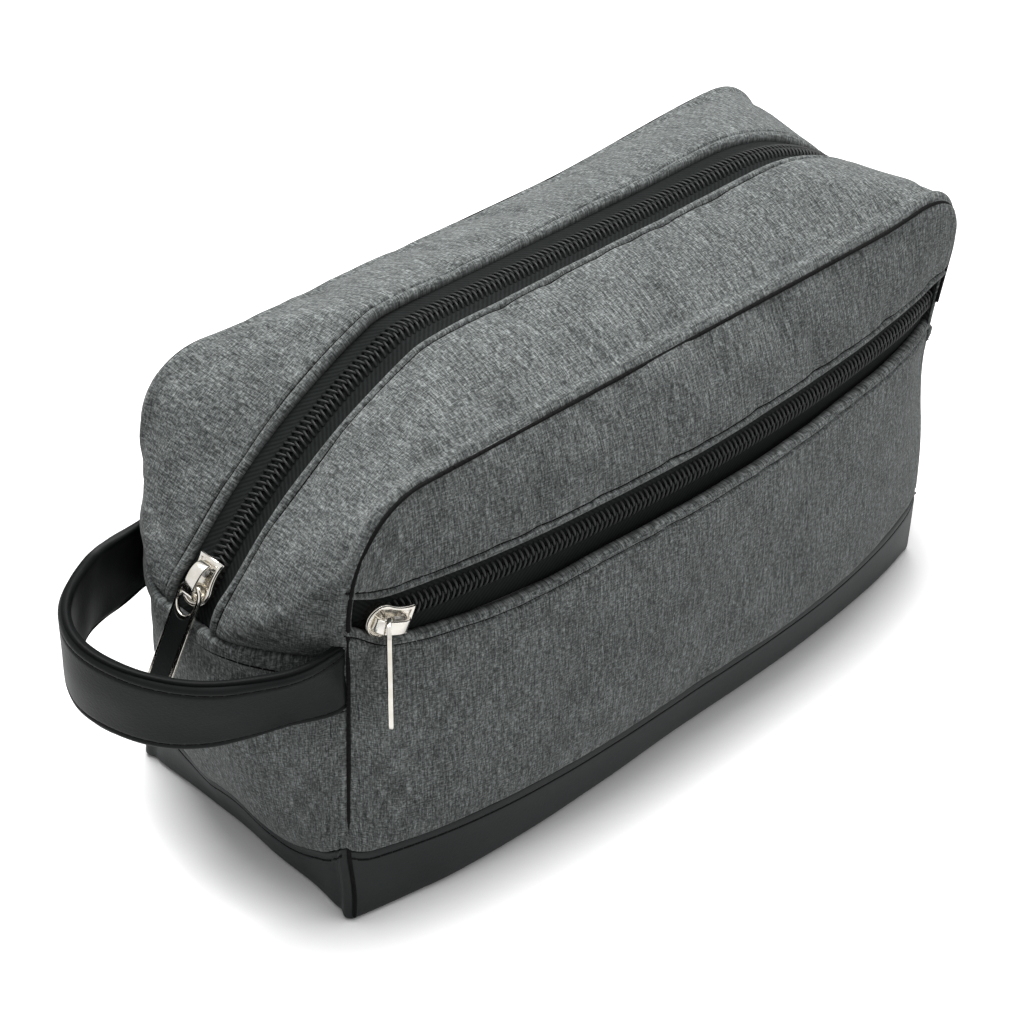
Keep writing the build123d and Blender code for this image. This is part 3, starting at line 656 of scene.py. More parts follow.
def leather_look(name="trim_leather", tone=0.024, shine=0.27):
    """Coated black leather-look sheet: fine pebbled grain and a soft satin sheen."""
    material, tree, principled = shader(name, (tone,) * 3, 0.42, Specular_IOR_Level=shine)
    place = solid_place(tree)
    pebbles = add(tree, "ShaderNodeTexVoronoi", {"Vector": place, "Scale": 1500.0}, feature="F1")
    height = mixed(tree, pebbles.outputs["Distance"], grain(tree, place, 900.0, 3.0), 0.45)
    bump(tree, principled, height, 0.16, 0.00035)
    broad = grain(tree, place, 30.0, 3.0)
    varied(
        tree, principled, "Base Color", broad,
        (0.35, (tone * 0.72, tone * 0.86, tone * 0.88)), (0.7, (tone * 1.22, tone * 1.42, tone * 1.42)))
    varied(tree, principled, "Roughness", broad, (0.3, 0.38), (0.7, 0.50))
    return material


def woven_tape(name="zip_tape", tone=0.012):
    """Black polyester tape with a fine herringbone twill."""
    material, tree, principled = shader(name, (tone,) * 3, 0.85, Sheen_Weight=0.04, Specular_IOR_Level=0.12)
    uv = flat_place(tree)
    twill = waves(tree, uv, 420.0, "DIAGONAL", 0.4)
    lint = stretched_noise(tree, uv, (900, 300, 1), 2.0)
    varied(
        tree, principled, "Base Color", mixed(tree, twill, lint, 0.5),
        (0.25, (tone * 0.6, tone * 0.72, tone * 0.7)), (0.75, (tone * 1.4, tone * 1.65, tone * 1.6)))
    bump(tree, principled, twill, 0.1, 0.0002)
    return material


def coil_nylon():
    """Black nylon monofilament with a satin gloss."""
    material, tree, principled = shader("zip_teeth", (0.007, 0.008, 0.008), 0.5, Specular_IOR_Level=0.35)
    wear = grain(tree, solid_place(tree), 700.0, 2.0)
    varied(tree, principled, "Roughness", wear, (0.3, 0.36), (0.7, 0.55))
    bump(tree, principled, wear, 0.08, 0.0002)
    return material


def plated_nickel():
    """Polished nickel plate over a zinc casting, faintly warm and uneven."""
    material, tree, principled = shader("nickel", (0.74, 0.71, 0.66), 0.16, Metallic=1.0)
    place = solid_place(tree)
    varied(tree, principled, "Roughness", grain(tree, place, 2200.0, 2.0), (0.35, 0.10), (0.75, 0.24))
    cast = grain(tree, place, 260.0, 2.0)
    varied(tree, principled, "Base Color", cast, (0.3, (0.66, 0.62, 0.55)), (0.7, (0.80, 0.78, 0.74)))
    bump(tree, principled, cast, 0.12, 0.0006)
    return material


def spring_steel():
    """Plain rolled spring steel."""
    material, tree, principled = shader("spring_steel", (0.5, 0.5, 0.5), 0.35, Metallic=1.0)
    rolled = stretched_noise(tree, solid_place(tree), (4000, 300, 300), 2.0)
    varied(tree, principled, "Roughness", rolled, (0.3, 0.28), (0.7, 0.45))
    return material


def lining_cloth():
    """Thin black woven lining."""
    material, tree, principled = shader("lining_fabric", (0.03, 0.03, 0.032), 0.7, Sheen_Weight=0.2)
    uv = flat_place(tree)
    weave = maths(tree, "MULTIPLY", waves(tree, uv, 500.0, "X"), waves(tree, uv, 500.0, "Y"))
    varied(tree, principled, "Base Color", weave, (0.2, (0.018, 0.018, 0.02)), (0.8, (0.05, 0.05, 0.054)))
    bump(tree, principled, weave, 0.3, 0.0002)
    return material


def sewing_thread():
    """Twisted charcoal polyester thread."""
    tone = (0.008, 0.009, 0.009)
    material, tree, principled = shader("sewing_thread", tone, 0.75, Specular_IOR_Level=0.1)
    twist = grain(tree, solid_place(tree), 3000.0, 1.0)
    varied(tree, principled, "Base Color", twist, (0.35, 0.004), (0.7, 0.014))
    bump(tree, principled, twist, 0.2, 0.0002)
    return material


def pressed_board():
    """Stiff dark board with a matte pressed face."""
    material, tree, principled = shader("board", (0.06, 0.06, 0.06), 0.75)
    pulp = grain(tree, solid_place(tree), 220.0, 6.0)
    varied(tree, principled, "Base Color", pulp, (0.3, 0.04), (0.7, 0.085))
    bump(tree, principled, pulp, 0.2, 0.0004)
    return material


HEATHER = heather_fabric()
TRIM = leather_look()
STRAP = leather_look("strap_leather", 0.010, 0.11)
BACKING = leather_look("handle_backing", 0.0035, 0.1)
TAPE_CLOTH = woven_tape()
BINDING = woven_tape("binding_tape", 0.02)
COIL = coil_nylon()
NICKEL = plated_nickel()
STEEL = spring_steel()
LINING = lining_cloth()
THREAD = sewing_thread()
BOARD = pressed_board()


def painted(piece, material, slot, *nodes):
    """Give a piece its material, and the nodes that it stands for."""
    piece.data.materials.clear()
    piece.data.materials.append(material)
    if nodes:
        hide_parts(*nodes)


def dress(piece, material, body, slot, *nodes):
    """Paint a piece that rides on one body."""
    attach(piece, body)
    painted(piece, material, slot, *nodes)


def quilted(piece, node):
    """Give a padded outer panel its fabric, and the node that it stands for."""
    dress(piece, HEATHER, "bag", "heather_fabric", node)


def lined(name, grid, thick, *nodes, normals=None):
    """Thin lining cloth that hangs inside the bag."""
    piece = sheet_mesh(name, grid, thick, normals=normals)
    dress(piece, LINING, "bag", "lining_fabric", *nodes)


# Front and rear faces

def belly(x, z):
    """How far a face stands out from its seam."""
    up = np.clip((z - BELLY_LEVEL) / (SEAM_TOP - BELLY_LEVEL), 0, 1)
    down = np.clip((BELLY_LEVEL - z) / BELLY_LEVEL, 0, 1)
    height = np.where(z > BELLY_LEVEL, BELLY * (1 - up ** 3), BELLY - BELLY_DROP * down ** 4)
    power = BELLY_POWER[0] + BELLY_POWER[1] * np.clip((BELLY_SQUARE - z) / BELLY_SQUARE, 0, None)
    return height * (1 - np.clip(np.abs(x) / HALF, 0, 1) ** power)


def seam_gap(x, z):
    """Distance of a place on a face from the seam round it."""
    corner_x = np.clip(np.abs(x) - (HALF - SEAM_RADIUS), 0, None)
    corner_z = np.clip(z - (SEAM_TOP - SEAM_RADIUS), 0, None)
    rounded = SEAM_RADIUS - np.hypot(corner_x, corner_z)
    straight = np.minimum(HALF - np.abs(x), SEAM_TOP - z)
    return np.where((corner_x > 0) & (corner_z > 0), rounded, straight)


def trim_climb(distance, corner, reach):
    """Height of the trim's upper edge, which climbs a little into the corners."""
    return TRIM_TOP + TRIM_CLIMB * np.clip((np.abs(distance) - (corner - reach)) / reach, 0, 1) ** 2


def trim_line(x):
    """The front's and the rear's."""
    return trim_climb(x, HALF, 7.0)


def right_trim_line(y):
    """The right end's."""
    return trim_climb(y, SEAM_PLANE, 6.0)


def left_trim_line(y):
    """The left end's, where the filled fabric sags over the trim in three places."""
    sag = 6.5 * swell(y, -19.0, 12.0) + 4.0 * swell(y, 13.0, 12.0) + 3.5 * swell(y, 27.0, 9.0)
    return right_trim_line(y) - sag


def top_line(x):
    """Height of the top seam over a place along the bag."""
    over = np.clip(np.abs(x) - (HALF - SEAM_RADIUS), 0, SEAM_RADIUS)
    return SEAM_TOP - SEAM_RADIUS + np.sqrt(SEAM_RADIUS ** 2 - over ** 2)


def pocket_upper(x):
    """Fabric edge over the pocket zip, which turns up at the left seam."""
    return BAND_HIGH + 3.0 * swell(x, -HALF, 6.0)


def pocket_lower(x):
    """Fabric edge under the pocket zip: drawn up at the left seam and sagging beside it."""
    return BAND_LOW + 8.0 * swell(x, -HALF, 8.0) - 2.2 * swell(x, -68.0, 24.0)


def level(z):
    """A line at one height."""
    return lambda x: np.full_like(x, z)


def heights(low, high, step):
    """Rows of heights from a lower line to an upper one."""
    rows = spaced(float(np.max(high - low)), step)
    return low[:, None] + (high - low)[:, None] * (rows / rows[-1])[None, :]


def face_panel(name, side, low_line, high_line, low_edge, high_edge, seed, thick=FABRIC, lay=1.0):
    """One panel of the front or rear face, and its outer face."""
    line = np.clip(spaced(LENGTH, FACE_STEP) - HALF, -HALF + 0.02, HALF - 0.02)
    z = heights(low_line(line), high_line(line), FACE_STEP)
    x = np.repeat(line[:, None], z.shape[1], axis=1)
    grid = np.stack([x, side * (SIDE + belly(x, z)), z], axis=2)
    height = seam_edge(seam_gap(x, z)) + cloth_lay(grid, seed, lay)
    height += low_edge(z - low_line(x)) + high_edge(high_line(x) - z)
    return panel(name, grid, height, thick)


# Gusset and ends

def end_x(end, y, z):
    """Where an end's outer face stands at a depth and heights."""
    line = hoop(y, end)
    rising = int(np.argmax(line[:, 1])) + 1
    return np.interp(z, line[:rising, 1], line[:rising, 0])


def end_panel(name, end, low_line, high_line, low_edge, high_edge, seed, thick=FABRIC, lay=1.0):
    """Panel of an end between two heights, from the front seam to the rear one, and its outer face."""
    line = spaced(2 * WELT_EDGE, END_STEP) - WELT_EDGE
    low, high = low_line(line), high_line(line)
    z = heights(low, high, END_STEP)
    x = np.array([end_x(end, depth, row) for depth, row in zip(line, z)])
    y = np.repeat(line[:, None], z.shape[1], axis=1)
    grid = np.stack([x, y, z], axis=2)
    height = welt_edge(WELT_EDGE - np.abs(y)) + cloth_lay(grid, seed, lay)
    height += low_edge(z - low[:, None]) + high_edge(high[:, None] - z)
    return panel(name, grid, height, thick)


def over_top(line, height):
    """Distances along an outline at which it rises past a height and comes down to it again."""
    top = int(np.argmax(line[:, 1]))
    run = along(line)
    return np.interp(height, line[:top, 1], run[:top]), np.interp(-height, -line[top:, 1], run[top:])


PUFF = 1.3                      # how high the gusset stands beside its cross seam
PUFF_PLACE = (7.0, 5.0)
PUFF_SEAM = (0.0, 1.5)
PUFF_EDGE = (0, 9)
GUSSET_TUCK = 1.5               # under the end panel


def gusset_panel(name, side, seed):
    """Padded band from the zip out to a seam and from one cross seam to the other, and its outer face."""
    ys = spaced(WELT_EDGE - SLOT_HALF, END_STEP) + SLOT_HALF
    lines = [hoop(y) for y in ys]
    spans = [over_top(line, CROSS_SEAM - GUSSET_TUCK) for line in lines]
    rows = spaced(spans[0][1] - spans[0][0], FACE_STEP)
    share = rows / rows[-1]
    grid = np.array([
        at_depth(sample(line, start + (finish - start) * share), side * y)
        for line, (start, finish), y in zip(lines, spans, ys)
    ])
    y = np.abs(grid[..., 1])
    gap = np.minimum(rows, rows[-1] - rows)[None, :] - CROSS_LAP
    puff = PUFF * swell(gap, *PUFF_PLACE) - PUFF * swell(gap, *PUFF_SEAM)
    height = puff * smooth(WELT_EDGE - y, *PUFF_EDGE) + welt_edge(WELT_EDGE - y)
    height += turned_edge(y - SLOT_HALF) + cloth_lay(grid, seed)
    return panel(name, grid, height, FABRIC, uv=grid_uv(grid)[..., ::-1])


BASE_INSET = 0.8                # of the underside from the faces round it
BASE_SINK = (2.5, 0.7)


def base_sheet():
    """Underside of the bag, one sheet with rounded edges."""
    shares, depths = np.linspace(-1, 1, 121), np.linspace(-1, 1, 61)
    ground = np.array(1.0)
    grid = np.zeros((len(shares), len(depths), 3))
    for i, share in enumerate(shares):
        half = SIDE + float(belly(np.array(share * HALF), ground)) - BASE_INSET
        for j, depth in enumerate(depths):
            y = depth * half
            end = abs(end_x(np.sign(share) or 1, min(abs(y), SEAM_PLANE), ground)) - BASE_INSET
            grid[i, j, :2] = (share * HALF * (1 + (end / HALF - 1) * abs(share) ** 3), y)
    edge = np.minimum(1 - np.abs(shares)[:, None], 1 - np.abs(depths)[None, :]) * 45
    grid[..., 2] = 0.02 - sink(edge, *BASE_SINK)
    return sheet_mesh("base_sheet", grid, 1.2)


# Things that repeat along a path

UP = (0.0, 0.0, 1.0)
REARWARD = (0.0, 1.0, 0.0)


def repeat_tree():
    """Geometry nodes: a short round bar, bowed or straight, repeated along a path."""
    tree = bpy.data.node_groups.new("bars_along_path", "GeometryNodeTree")
    face = tree.interface
    face.new_socket("Geometry", in_out="INPUT", socket_type="NodeSocketGeometry")
    for name, kind in (
        ("Pitch", "Float"), ("Across", "Vector"), ("Start", "Vector"), ("Start Bow", "Vector"),
        ("End Bow", "Vector"), ("End", "Vector"), ("Wire", "Float"), ("Material", "Material"),
    ):
        face.new_socket(name, in_out="INPUT", socket_type="NodeSocket" + kind)
    face.new_socket("Geometry", in_out="OUTPUT", socket_type="NodeSocketGeometry")
    group = tree.nodes.new("NodeGroupInput").outputs
    spread = add(tree, "GeometryNodeResampleCurve", {
        "Curve": group["Geometry"], "Length": group["Pitch"],
    }, mode="LENGTH")
    tangent = tree.nodes.new("GeometryNodeInputTangent").outputs["Tangent"]
    turn = add(tree, "FunctionNodeAlignRotationToVector", {"Vector": tangent}, axis="X")
    square = add(tree, "FunctionNodeAlignRotationToVector", {
        "Rotation": turn.outputs["Rotation"], "Vector": group["Across"],
    }, axis="Y", pivot_axis="X")
    bar = add(tree, "GeometryNodeCurvePrimitiveBezierSegment", {
        "Resolution": 6, "Start": group["Start"], "Start Handle": group["Start Bow"],
        "End Handle": group["End Bow"], "End": group["End"],
    })
    ring = add(tree, "GeometryNodeCurvePrimitiveCircle", {"Resolution": 7, "Radius": group["Wire"]})
    tube = add(tree, "GeometryNodeCurveToMesh", {
        "Curve": bar.outputs["Curve"], "Profile Curve": ring.outputs["Curve"], "Fill Caps": True,
    })
    copies = add(tree, "GeometryNodeInstanceOnPoints", {
        "Points": spread.outputs["Curve"], "Instance": tube.outputs["Mesh"],
        "Rotation": square.outputs["Rotation"],
    })
    real = add(tree, "GeometryNodeRealizeInstances", {"Geometry": copies.outputs["Instances"]})
    coloured = add(tree, "GeometryNodeSetMaterial", {
        "Geometry": real.outputs["Geometry"], "Material": group["Material"],
    })
    tree.links.new(coloured.outputs["Geometry"], tree.nodes.new("NodeGroupOutput").inputs["Geometry"])
    return tree


REPEAT = repeat_tree()


def bars(name, lines, material, pitch, across, bar, wire):
    """Mesh of bars along paths; sizes in millimetres, a bar's four points in the path's own axes."""
    curve = bpy.data.curves.new(name, "CURVE")
    curve.dimensions = "3D"
    for line in lines:
        spline = curve.splines.new("POLY")
        spline.points.add(len(line) - 1)
        spline.points.foreach_set("co", np.hstack([slouch(line) * MM, np.ones((len(line), 1))]).ravel())
    source = placed(name + "_path", curve)
    modifier = source.modifiers.new("bars", "NODES")
    modifier.node_group = REPEAT
    values = {"Pitch": pitch * MM, "Across": across, "Wire": wire * MM, "Material": material}
    for word, point in zip(("Start", "Start Bow", "End Bow", "End"), bar):
        values[word] = [v * MM for v in point]
    for item in REPEAT.interface.items_tree:
        if item.in_out == "INPUT" and item.name in values:
            modifier[item.identifier] = values[item.name]
    mesh = taken_mesh(source)
    mesh.name = name
    mesh.shade_smooth()
    return placed(name, mesh)


def threads(name, lines, half, wire, pitch=STITCH_PITCH, across=UP, bow=0.5):
    """Rows of straight threads along lines, of a half length and a radius."""
    bar = [(reach, 0, 0) for reach in (-half, -half * bow, half * bow, half)]
    return bars(name, lines, THREAD, pitch, across, bar, wire)


def line_on(grid, distance, wanted, axis=1):
    """Line over a grid where a distance has a wanted value, short of its two ends."""
    if axis == 0:
        grid, distance = np.swapaxes(grid, 0, 1), np.swapaxes(distance, 0, 1)
    line = []
    for points, gaps in zip(grid, distance):
        order = np.argsort(gaps)
        line.append([np.interp(wanted, gaps[order], points[order, k]) for k in range(3)])
    run = along(np.array(line))
    return np.array(line)[(run > STITCH_STOP) & (run < run[-1] - STITCH_STOP)]


# Shell of the bag

def bag_shell():
    """Every outer panel of the bag, and its topstitching."""
    rows = []
    upper, grid = face_panel(
        "front_upper_cloth", -1, pocket_upper, top_line, turned_edge, far_edge, 1.0)
    quilted(upper, "front_upper_panel")
    rows.append(line_on(grid, grid[..., 2] - pocket_upper(grid[..., 0]), STITCH_INSET))
    pocket, grid = face_panel(
        "front_pocket_cloth", -1, trim_line, pocket_lower, seam_edge, turned_edge, 3.0)
    quilted(pocket, "front_pocket_panel")
    rows.append(line_on(grid, pocket_lower(grid[..., 0]) - grid[..., 2], STITCH_INSET))
    rear, grid = face_panel("rear_cloth", 1, trim_line, top_line, seam_edge, far_edge, 5.0)
    quilted(rear, "rear_panel")
    for name, side, seed in (("front_base_trim", -1, 7.0), ("rear_base_trim", 1, 8.0)):
        trim, grid = face_panel(
            "skin_" + name, side, level(0.0), trim_line, foot_edge, trim_edge, seed, *TRIM_SKIN)
        dress(trim, TRIM, "bag", "trim_leather", name)
        rows.append(line_on(grid, trim_line(grid[..., 0]) - grid[..., 2], STITCH_INSET))
    for side, name, seed in ((-1, "gusset_front", 11.0), (1, "gusset_rear", 13.0)):
        cloth, grid = gusset_panel("cloth_" + name, side, seed)
        quilted(cloth, name)
        rows.append(line_on(grid, np.abs(grid[..., 1]) - SLOT_HALF, STITCH_INSET, axis=0))
    ends = ((-1, "left", left_trim_line, 15.0), (1, "right", right_trim_line, 17.0))
    for end, word, trim_top, seed in ends:
        cloth, grid = end_panel(
            f"{word}_end_cloth", end, trim_top, level(CROSS_TOP), seam_edge, cross_fold, seed)
        quilted(cloth, f"{word}_end_panel")
        rows.append(line_on(grid, CROSS_TOP - grid[..., 2], CROSS_STITCH))
        trim, grid = end_panel(
            f"{word}_end_skin", end, level(0.0), trim_top, foot_edge, trim_edge, seed + 1, *TRIM_SKIN)
        dress(trim, TRIM, "bag", "trim_leather", f"{word}_end_trim")
        rows.append(line_on(grid, trim_top(grid[..., 1]) - grid[..., 2], STITCH_INSET))
    dress(threads("bag_topstitching", rows, *STITCH), THREAD, "bag", "zip_tape")
    dress(base_sheet(), TRIM, "bag", "trim_leather", "base_panel")


def seam_shade_threads():
    """Dark thread in the seams round the front and the rear, laid there as painted shade for the shadow in
    the seams.
    """
    inset, depth, wire = SEAM_SHADE_LINE
    pitch, half, bow = SEAM_SHADE_THREAD
    # Painted shade: this dark thread stands in for the shadow in the seam.
    line = hoop(SIDE)
    line = line + beside(line) * inset
    line = line[(line[:, 1] > 1.5) & ((line[:, 0] < 0) | (line[:, 1] > BAND_MID))]
    even = sample(line, np.arange(0, along(line)[-1], 1.0))
    lines = [at_depth(even, side * depth) for side in (-1, 1)]
    dress(threads("seam_shade_thread", lines, half, wire, pitch, REARWARD, bow), THREAD, "bag", "zip_tape")


# Zips

TAPE_THICK = 0.5
TAPE_GAP = 0.2                  # half the gap between two tapes
TAPE_CORD = (3.3, 0.5)          # raised line on a tape that its teeth are sewn to
TAPE_TUCK = (1.6, 5.0)          # how far the main and the pocket tapes run under the fabric
COIL_ROOT = 2.9                 # from a zip's middle to where a coil's wires leave the tape
COIL_HEAD = 0.45                # and how far they reach past the middle
COIL_CREST = 1.5
COIL_SLANT = 0.55
COIL_WIRE = 0.37


def zip_line(depth):
    """Middle line of the main zip at a depth under the fabric's outer face, left to right."""
    line = hoop(0.0)
    spots = sample(line, np.arange(*over_top(line, CROSS_SEAM), 0.8))
    return at_depth(spots + beside(spots) * depth, 0.0)


def band_line(depth):
    """Middle line of the pocket zip at a depth, left to right."""
    x = np.arange(-HALF + 3.5, HALF - 3.5, 0.8)
    y = BAND_CENTRE - np.sqrt((BAND_RADIUS - depth) ** 2 - x ** 2)
    return np.stack([x, y, np.full_like(x, BAND_MID)], axis=1)


def zip_tapes():
    """Tapes of both zips, each with a raised cord line."""
    main = (zip_line(TAPE_DEPTH), REARWARD, SLOT_HALF + TAPE_TUCK[0])
    pocket = (band_line(POCKET_DEPTH), UP, (BAND_HIGH - BAND_LOW) / 2 + TAPE_TUCK[1])
    for name, side, (line, across, reach) in (
        ("main_tape_front", -1, main), ("main_tape_rear", 1, main),
        ("pocket_tape_lower", -1, pocket), ("pocket_tape_upper", 1, pocket),
    ):
        widths = np.linspace(side * TAPE_GAP, side * reach, 12)
        grid = line[:, None, :] + np.array(across)[None, None, :] * widths[None, :, None]
        lift = np.repeat(0.25 * swell(np.abs(widths), *TAPE_CORD)[None, :], len(line), axis=0)
        piece, _ = panel("cloth_" + name, grid, lift, TAPE_THICK)
        dress(piece, TAPE_CLOTH, "bag", "zip_tape", name)


def zip_coils():
    """Interlocked coils of both zips from the sliders on, slanted wires that bow over past the middle."""
    line, band = zip_line(TAPE_DEPTH), band_line(POCKET_DEPTH)
    first = ZIP_ARC_CENTRE[0] + ZIP_ARC_RADIUS * math.cos(math.radians(SLIDER_ANGLE - 1.0))
    main = (line[line[:, 0] > first], REARWARD)
    pocket = (band[band[:, 0] > POCKET_SLIDER_X], UP)
    for zip_name, word, side, phase, (path, across) in (
        ("main", "front", -1, 0.0, main), ("main", "rear", 1, 0.5, main),
        ("pocket", "lower", -1, 0.0, pocket), ("pocket", "upper", 1, 0.5, pocket),
    ):
        root, head, shift = side * COIL_ROOT, -side * COIL_HEAD, phase * COIL_PITCH
        wire = (
            (shift - COIL_SLANT, root, 0.25),
            (shift - COIL_SLANT * 0.6, root * 0.9, COIL_CREST),
            (shift + COIL_SLANT * 0.4, head * 0.2 + root * 0.15, COIL_CREST),
            (shift + COIL_SLANT, head, 0.55),
        )
        piece = bars(f"{zip_name}_coil_{word}", [path], COIL, COIL_PITCH, across, wire, COIL_WIRE)
        dress(piece, COIL, "bag", "zip_teeth", f"{zip_name}_teeth_{word}")


# Zip sliders and pulls

BEAD_NOSE = 6.6                 # from the slider's middle to its pointed round end
BEAD_HEEL = 5.9                 # and to its square end
BEAD_TIP = 4.0                  # half the width at the heel
BEAD_SHOULDER = 4.3             # half the width at the widest place
BEAD_WIDEST = -1.6
BEAD_WAIST = (2.4, 0.5)         # where the sides draw in, and by how much
PLATE_LOW = (-1.6, -0.7)
PLATE_HIGH = (2.2, 3.2)
PLATE_EDGES = (0.3, 0.38)       # how far their edges are rounded
CORE_INSET = 1.0                # of the wedge between the plates, and of the rim's inner side
RIM_TOP = 3.65
ARCH_MID = -0.3                 # middle of the bridge over a slider
ARCH_REACH = 4.9                # its half length
ARCH_FOOT = 3.1
ARCH_RISE = 3.8
ARCH_THICK = 0.9
ARCH_HALF = 1.75
ARCH_POWER = 2.6
LEAF = (1.0, 3.6, 0.8, 0.5)     # lock spring: its two ends, half width and thickness
PULL_RING = (2.95, 3.9)         # inner and outer radius
PULL_WINDOW = 1.6               # straight part of the window
INLAY = (1.0, 0.16)             # black inlay on a pull: its margin, and how far it stands proud
INLAY_CORNER = 0.8
INLAY_GAP = 1.3                 # from the window
PULL_LENGTH = 24.8
PULL_THICK = 1.15
PULL_CORNER = 1.6
MAIN_HINGE = (-1.4, 5.05)       # where the main pull's ring passes under its bridge
MAIN_PULL_TILT = 27.0
POCKET_SLIDER_TURN = 19.0       # the pocket zip's end turns up
POCKET_PULL_TWIST = 41.5
POCKET_PULL_LEAN = 7.5
POCKET_PULL_SWAY = 0.06         # it hangs a little towards the seam
POCKET_HINGE = (-3.0, 7.4)
POCKET_DROP = 0.5               # of its ring's centre under the bridge
FLAT_FACE = 1.6                 # in square millimetres; a larger face of a metal part is flat


def arc_through(first, middle, last, steps=14):
    """Points of the circular arc through three places, without the last one."""
    points = np.array([first, middle, last], dtype=float)
    sides = 2 * (points[1:] - points[0])
    centre = np.linalg.solve(sides, np.sum(points[1:] ** 2, axis=1) - np.sum(points[0] ** 2))
    angles = np.arctan2(points[:, 1] - centre[1], points[:, 0] - centre[0])
    turn = (angles[2] - angles[0]) % (2 * math.pi)
    if (angles[1] - angles[0]) % (2 * math.pi) > turn:
        turn -= 2 * math.pi
    spread = angles[0] + turn * np.linspace(0, 1, steps, endpoint=False)
    radius = np.linalg.norm(points[0] - centre)
    return centre + radius * np.stack([np.cos(spread), np.sin(spread)], axis=1)


def bead_plan(inset):
    """Plan of a slider's plate: pointed round nose, waist and square heel."""
    nose, heel = BEAD_NOSE - inset, BEAD_HEEL - inset
    tip, wide = BEAD_TIP - inset, BEAD_SHOULDER - inset
    waist = tip - BEAD_WAIST[1]
    side = arc_through((heel, tip), (BEAD_WAIST[0], waist), (BEAD_WIDEST, wide))
    bow = arc_through((BEAD_WIDEST, wide), (-nose, 0), (BEAD_WIDEST, -wide), 36)
    back = arc_through((BEAD_WIDEST, -wide), (BEAD_WAIST[0], -waist), (heel, -tip))
    return np.vstack([side, bow, back, [(heel, -tip)]])


def arch_side():
    """Side view of the bridge: a round arch with feet on the plate."""
    u = np.linspace(-1, 1, 41)
    height = (1 - np.abs(u) ** ARCH_POWER) ** (1 / ARCH_POWER)
    outer, inner = [
        np.stack([ARCH_MID + (ARCH_REACH - thick) * u, ARCH_FOOT + (ARCH_RISE - thick) * height], axis=1)
        for thick in (0, ARCH_THICK)
    ]
    return np.vstack([outer, inner[::-1]])


def half_round(start, stop, steps):
    """Points of a half circle of radius 1 in a plane."""
    turn = np.linspace(start, stop, steps)
    return np.stack([np.cos(turn), np.sin(turn)], axis=1)


def pull_plan():
    """Outer outline and window of a pull, ring centre at the origin and hanging down."""
    inner, outer = PULL_RING
    top = half_round(0, math.pi, 30)
    curl = half_round(0, -math.pi / 2, 7) * PULL_CORNER
    right = curl + np.array([outer - PULL_CORNER, PULL_CORNER - PULL_LENGTH])
    left = right * np.array([-1.0, 1.0])
    return [
        np.vstack([top * outer, left, right[::-1]]),
        np.vstack([top * inner, -top * inner - (0, PULL_WINDOW)]),
    ]


def inlay_plan():
    """Outline of the black inlay, between a pull's window and its free end."""
    wide, low = PULL_RING[1] - INLAY[0], INLAY[0] - PULL_LENGTH
    scoop = half_round(-math.pi, 0, 16) * wide - (0, PULL_WINDOW + INLAY_GAP)
    cut = INLAY_CORNER
    return np.vstack([scoop, [(wide, low + cut), (wide - cut, low), (cut - wide, low), (-wide, low + cut)]])


def pressed(loops, low, high, edge):
    """Points and faces of a flat part with softened edges, from its outlines and two heights."""
    curve = bpy.data.curves.new("pressed", "CURVE")
    curve.dimensions = "2D"
    curve.fill_mode = "BOTH"
    for loop in loops:
        spline = curve.splines.new("POLY")
        spline.points.add(len(loop) - 1)
        rows = np.hstack([loop, np.zeros((len(loop), 1)), np.ones((len(loop), 1))])
        spline.points.foreach_set("co", rows.ravel())
        spline.use_cyclic_u = True
    curve.extrude = (high - low) / 2 - edge
    curve.bevel_depth = edge
    curve.bevel_resolution = 3
    curve.offset = -edge
    work = bmesh.new()
    work.from_mesh(taken_mesh(placed("pressed", curve)))
    bmesh.ops.remove_doubles(work, verts=work.verts, dist=1e-4)
    bmesh.ops.dissolve_degenerate(work, edges=work.edges, dist=1e-4)
    points = np.array([v.co for v in work.verts]) + (0, 0, (low + high) / 2)
    faces = [[v.index for v in face.verts] for face in work.faces]
    work.free()
    return points, faces


def assembled(name, parts, origin, axes):
    """Object from flat parts, whose own first, second and third axes are given."""
    points, faces = [], []
    count = 0
    for spots, polygons in parts:
        points.append(spots @ np.array(axes) + origin)
        faces += [[i + count for i in polygon] for polygon in polygons]
        count += len(spots)
    mesh = bpy.data.meshes.new(name)
    mesh.from_pydata([tuple(p) for p in np.vstack(points) * MM], [], faces)
    piece = finish_mesh(name, mesh)
    for polygon in mesh.polygons:
        polygon.use_smooth = polygon.area < FLAT_FACE * MM ** 2
    return piece


def main_slider_place():
    """Origin and axes of the main slider: along the zip, across it and outwards."""
    turn = math.radians(SLIDER_ANGLE)
    outward = np.array([math.cos(turn), 0.0, math.sin(turn)])
    forward = np.array([math.sin(turn), 0.0, -math.cos(turn)])
    centre = np.array([ZIP_ARC_CENTRE[0], 0.0, ZIP_ARC_CENTRE[1]])
    return centre + outward * (ZIP_ARC_RADIUS - TAPE_DEPTH), forward, np.cross(outward, forward), outward


def pocket_slider_place():
    """The pocket slider's, turned up where the zip's end turns up."""
    y = BAND_CENTRE - math.sqrt((BAND_RADIUS - POCKET_DEPTH) ** 2 - POCKET_SLIDER_X ** 2)
    origin = np.array([POCKET_SLIDER_X, y, BAND_MID])
    outward = unit(np.array([POCKET_SLIDER_X, y - BAND_CENTRE, 0.0]))
    forward = np.array([-outward[1], outward[0], 0.0])
    turn = math.radians(POCKET_SLIDER_TURN)
    turned = forward * math.cos(turn) - np.cross(outward, forward) * math.sin(turn)
    return slouch(origin), turned, np.cross(outward, turned), outward


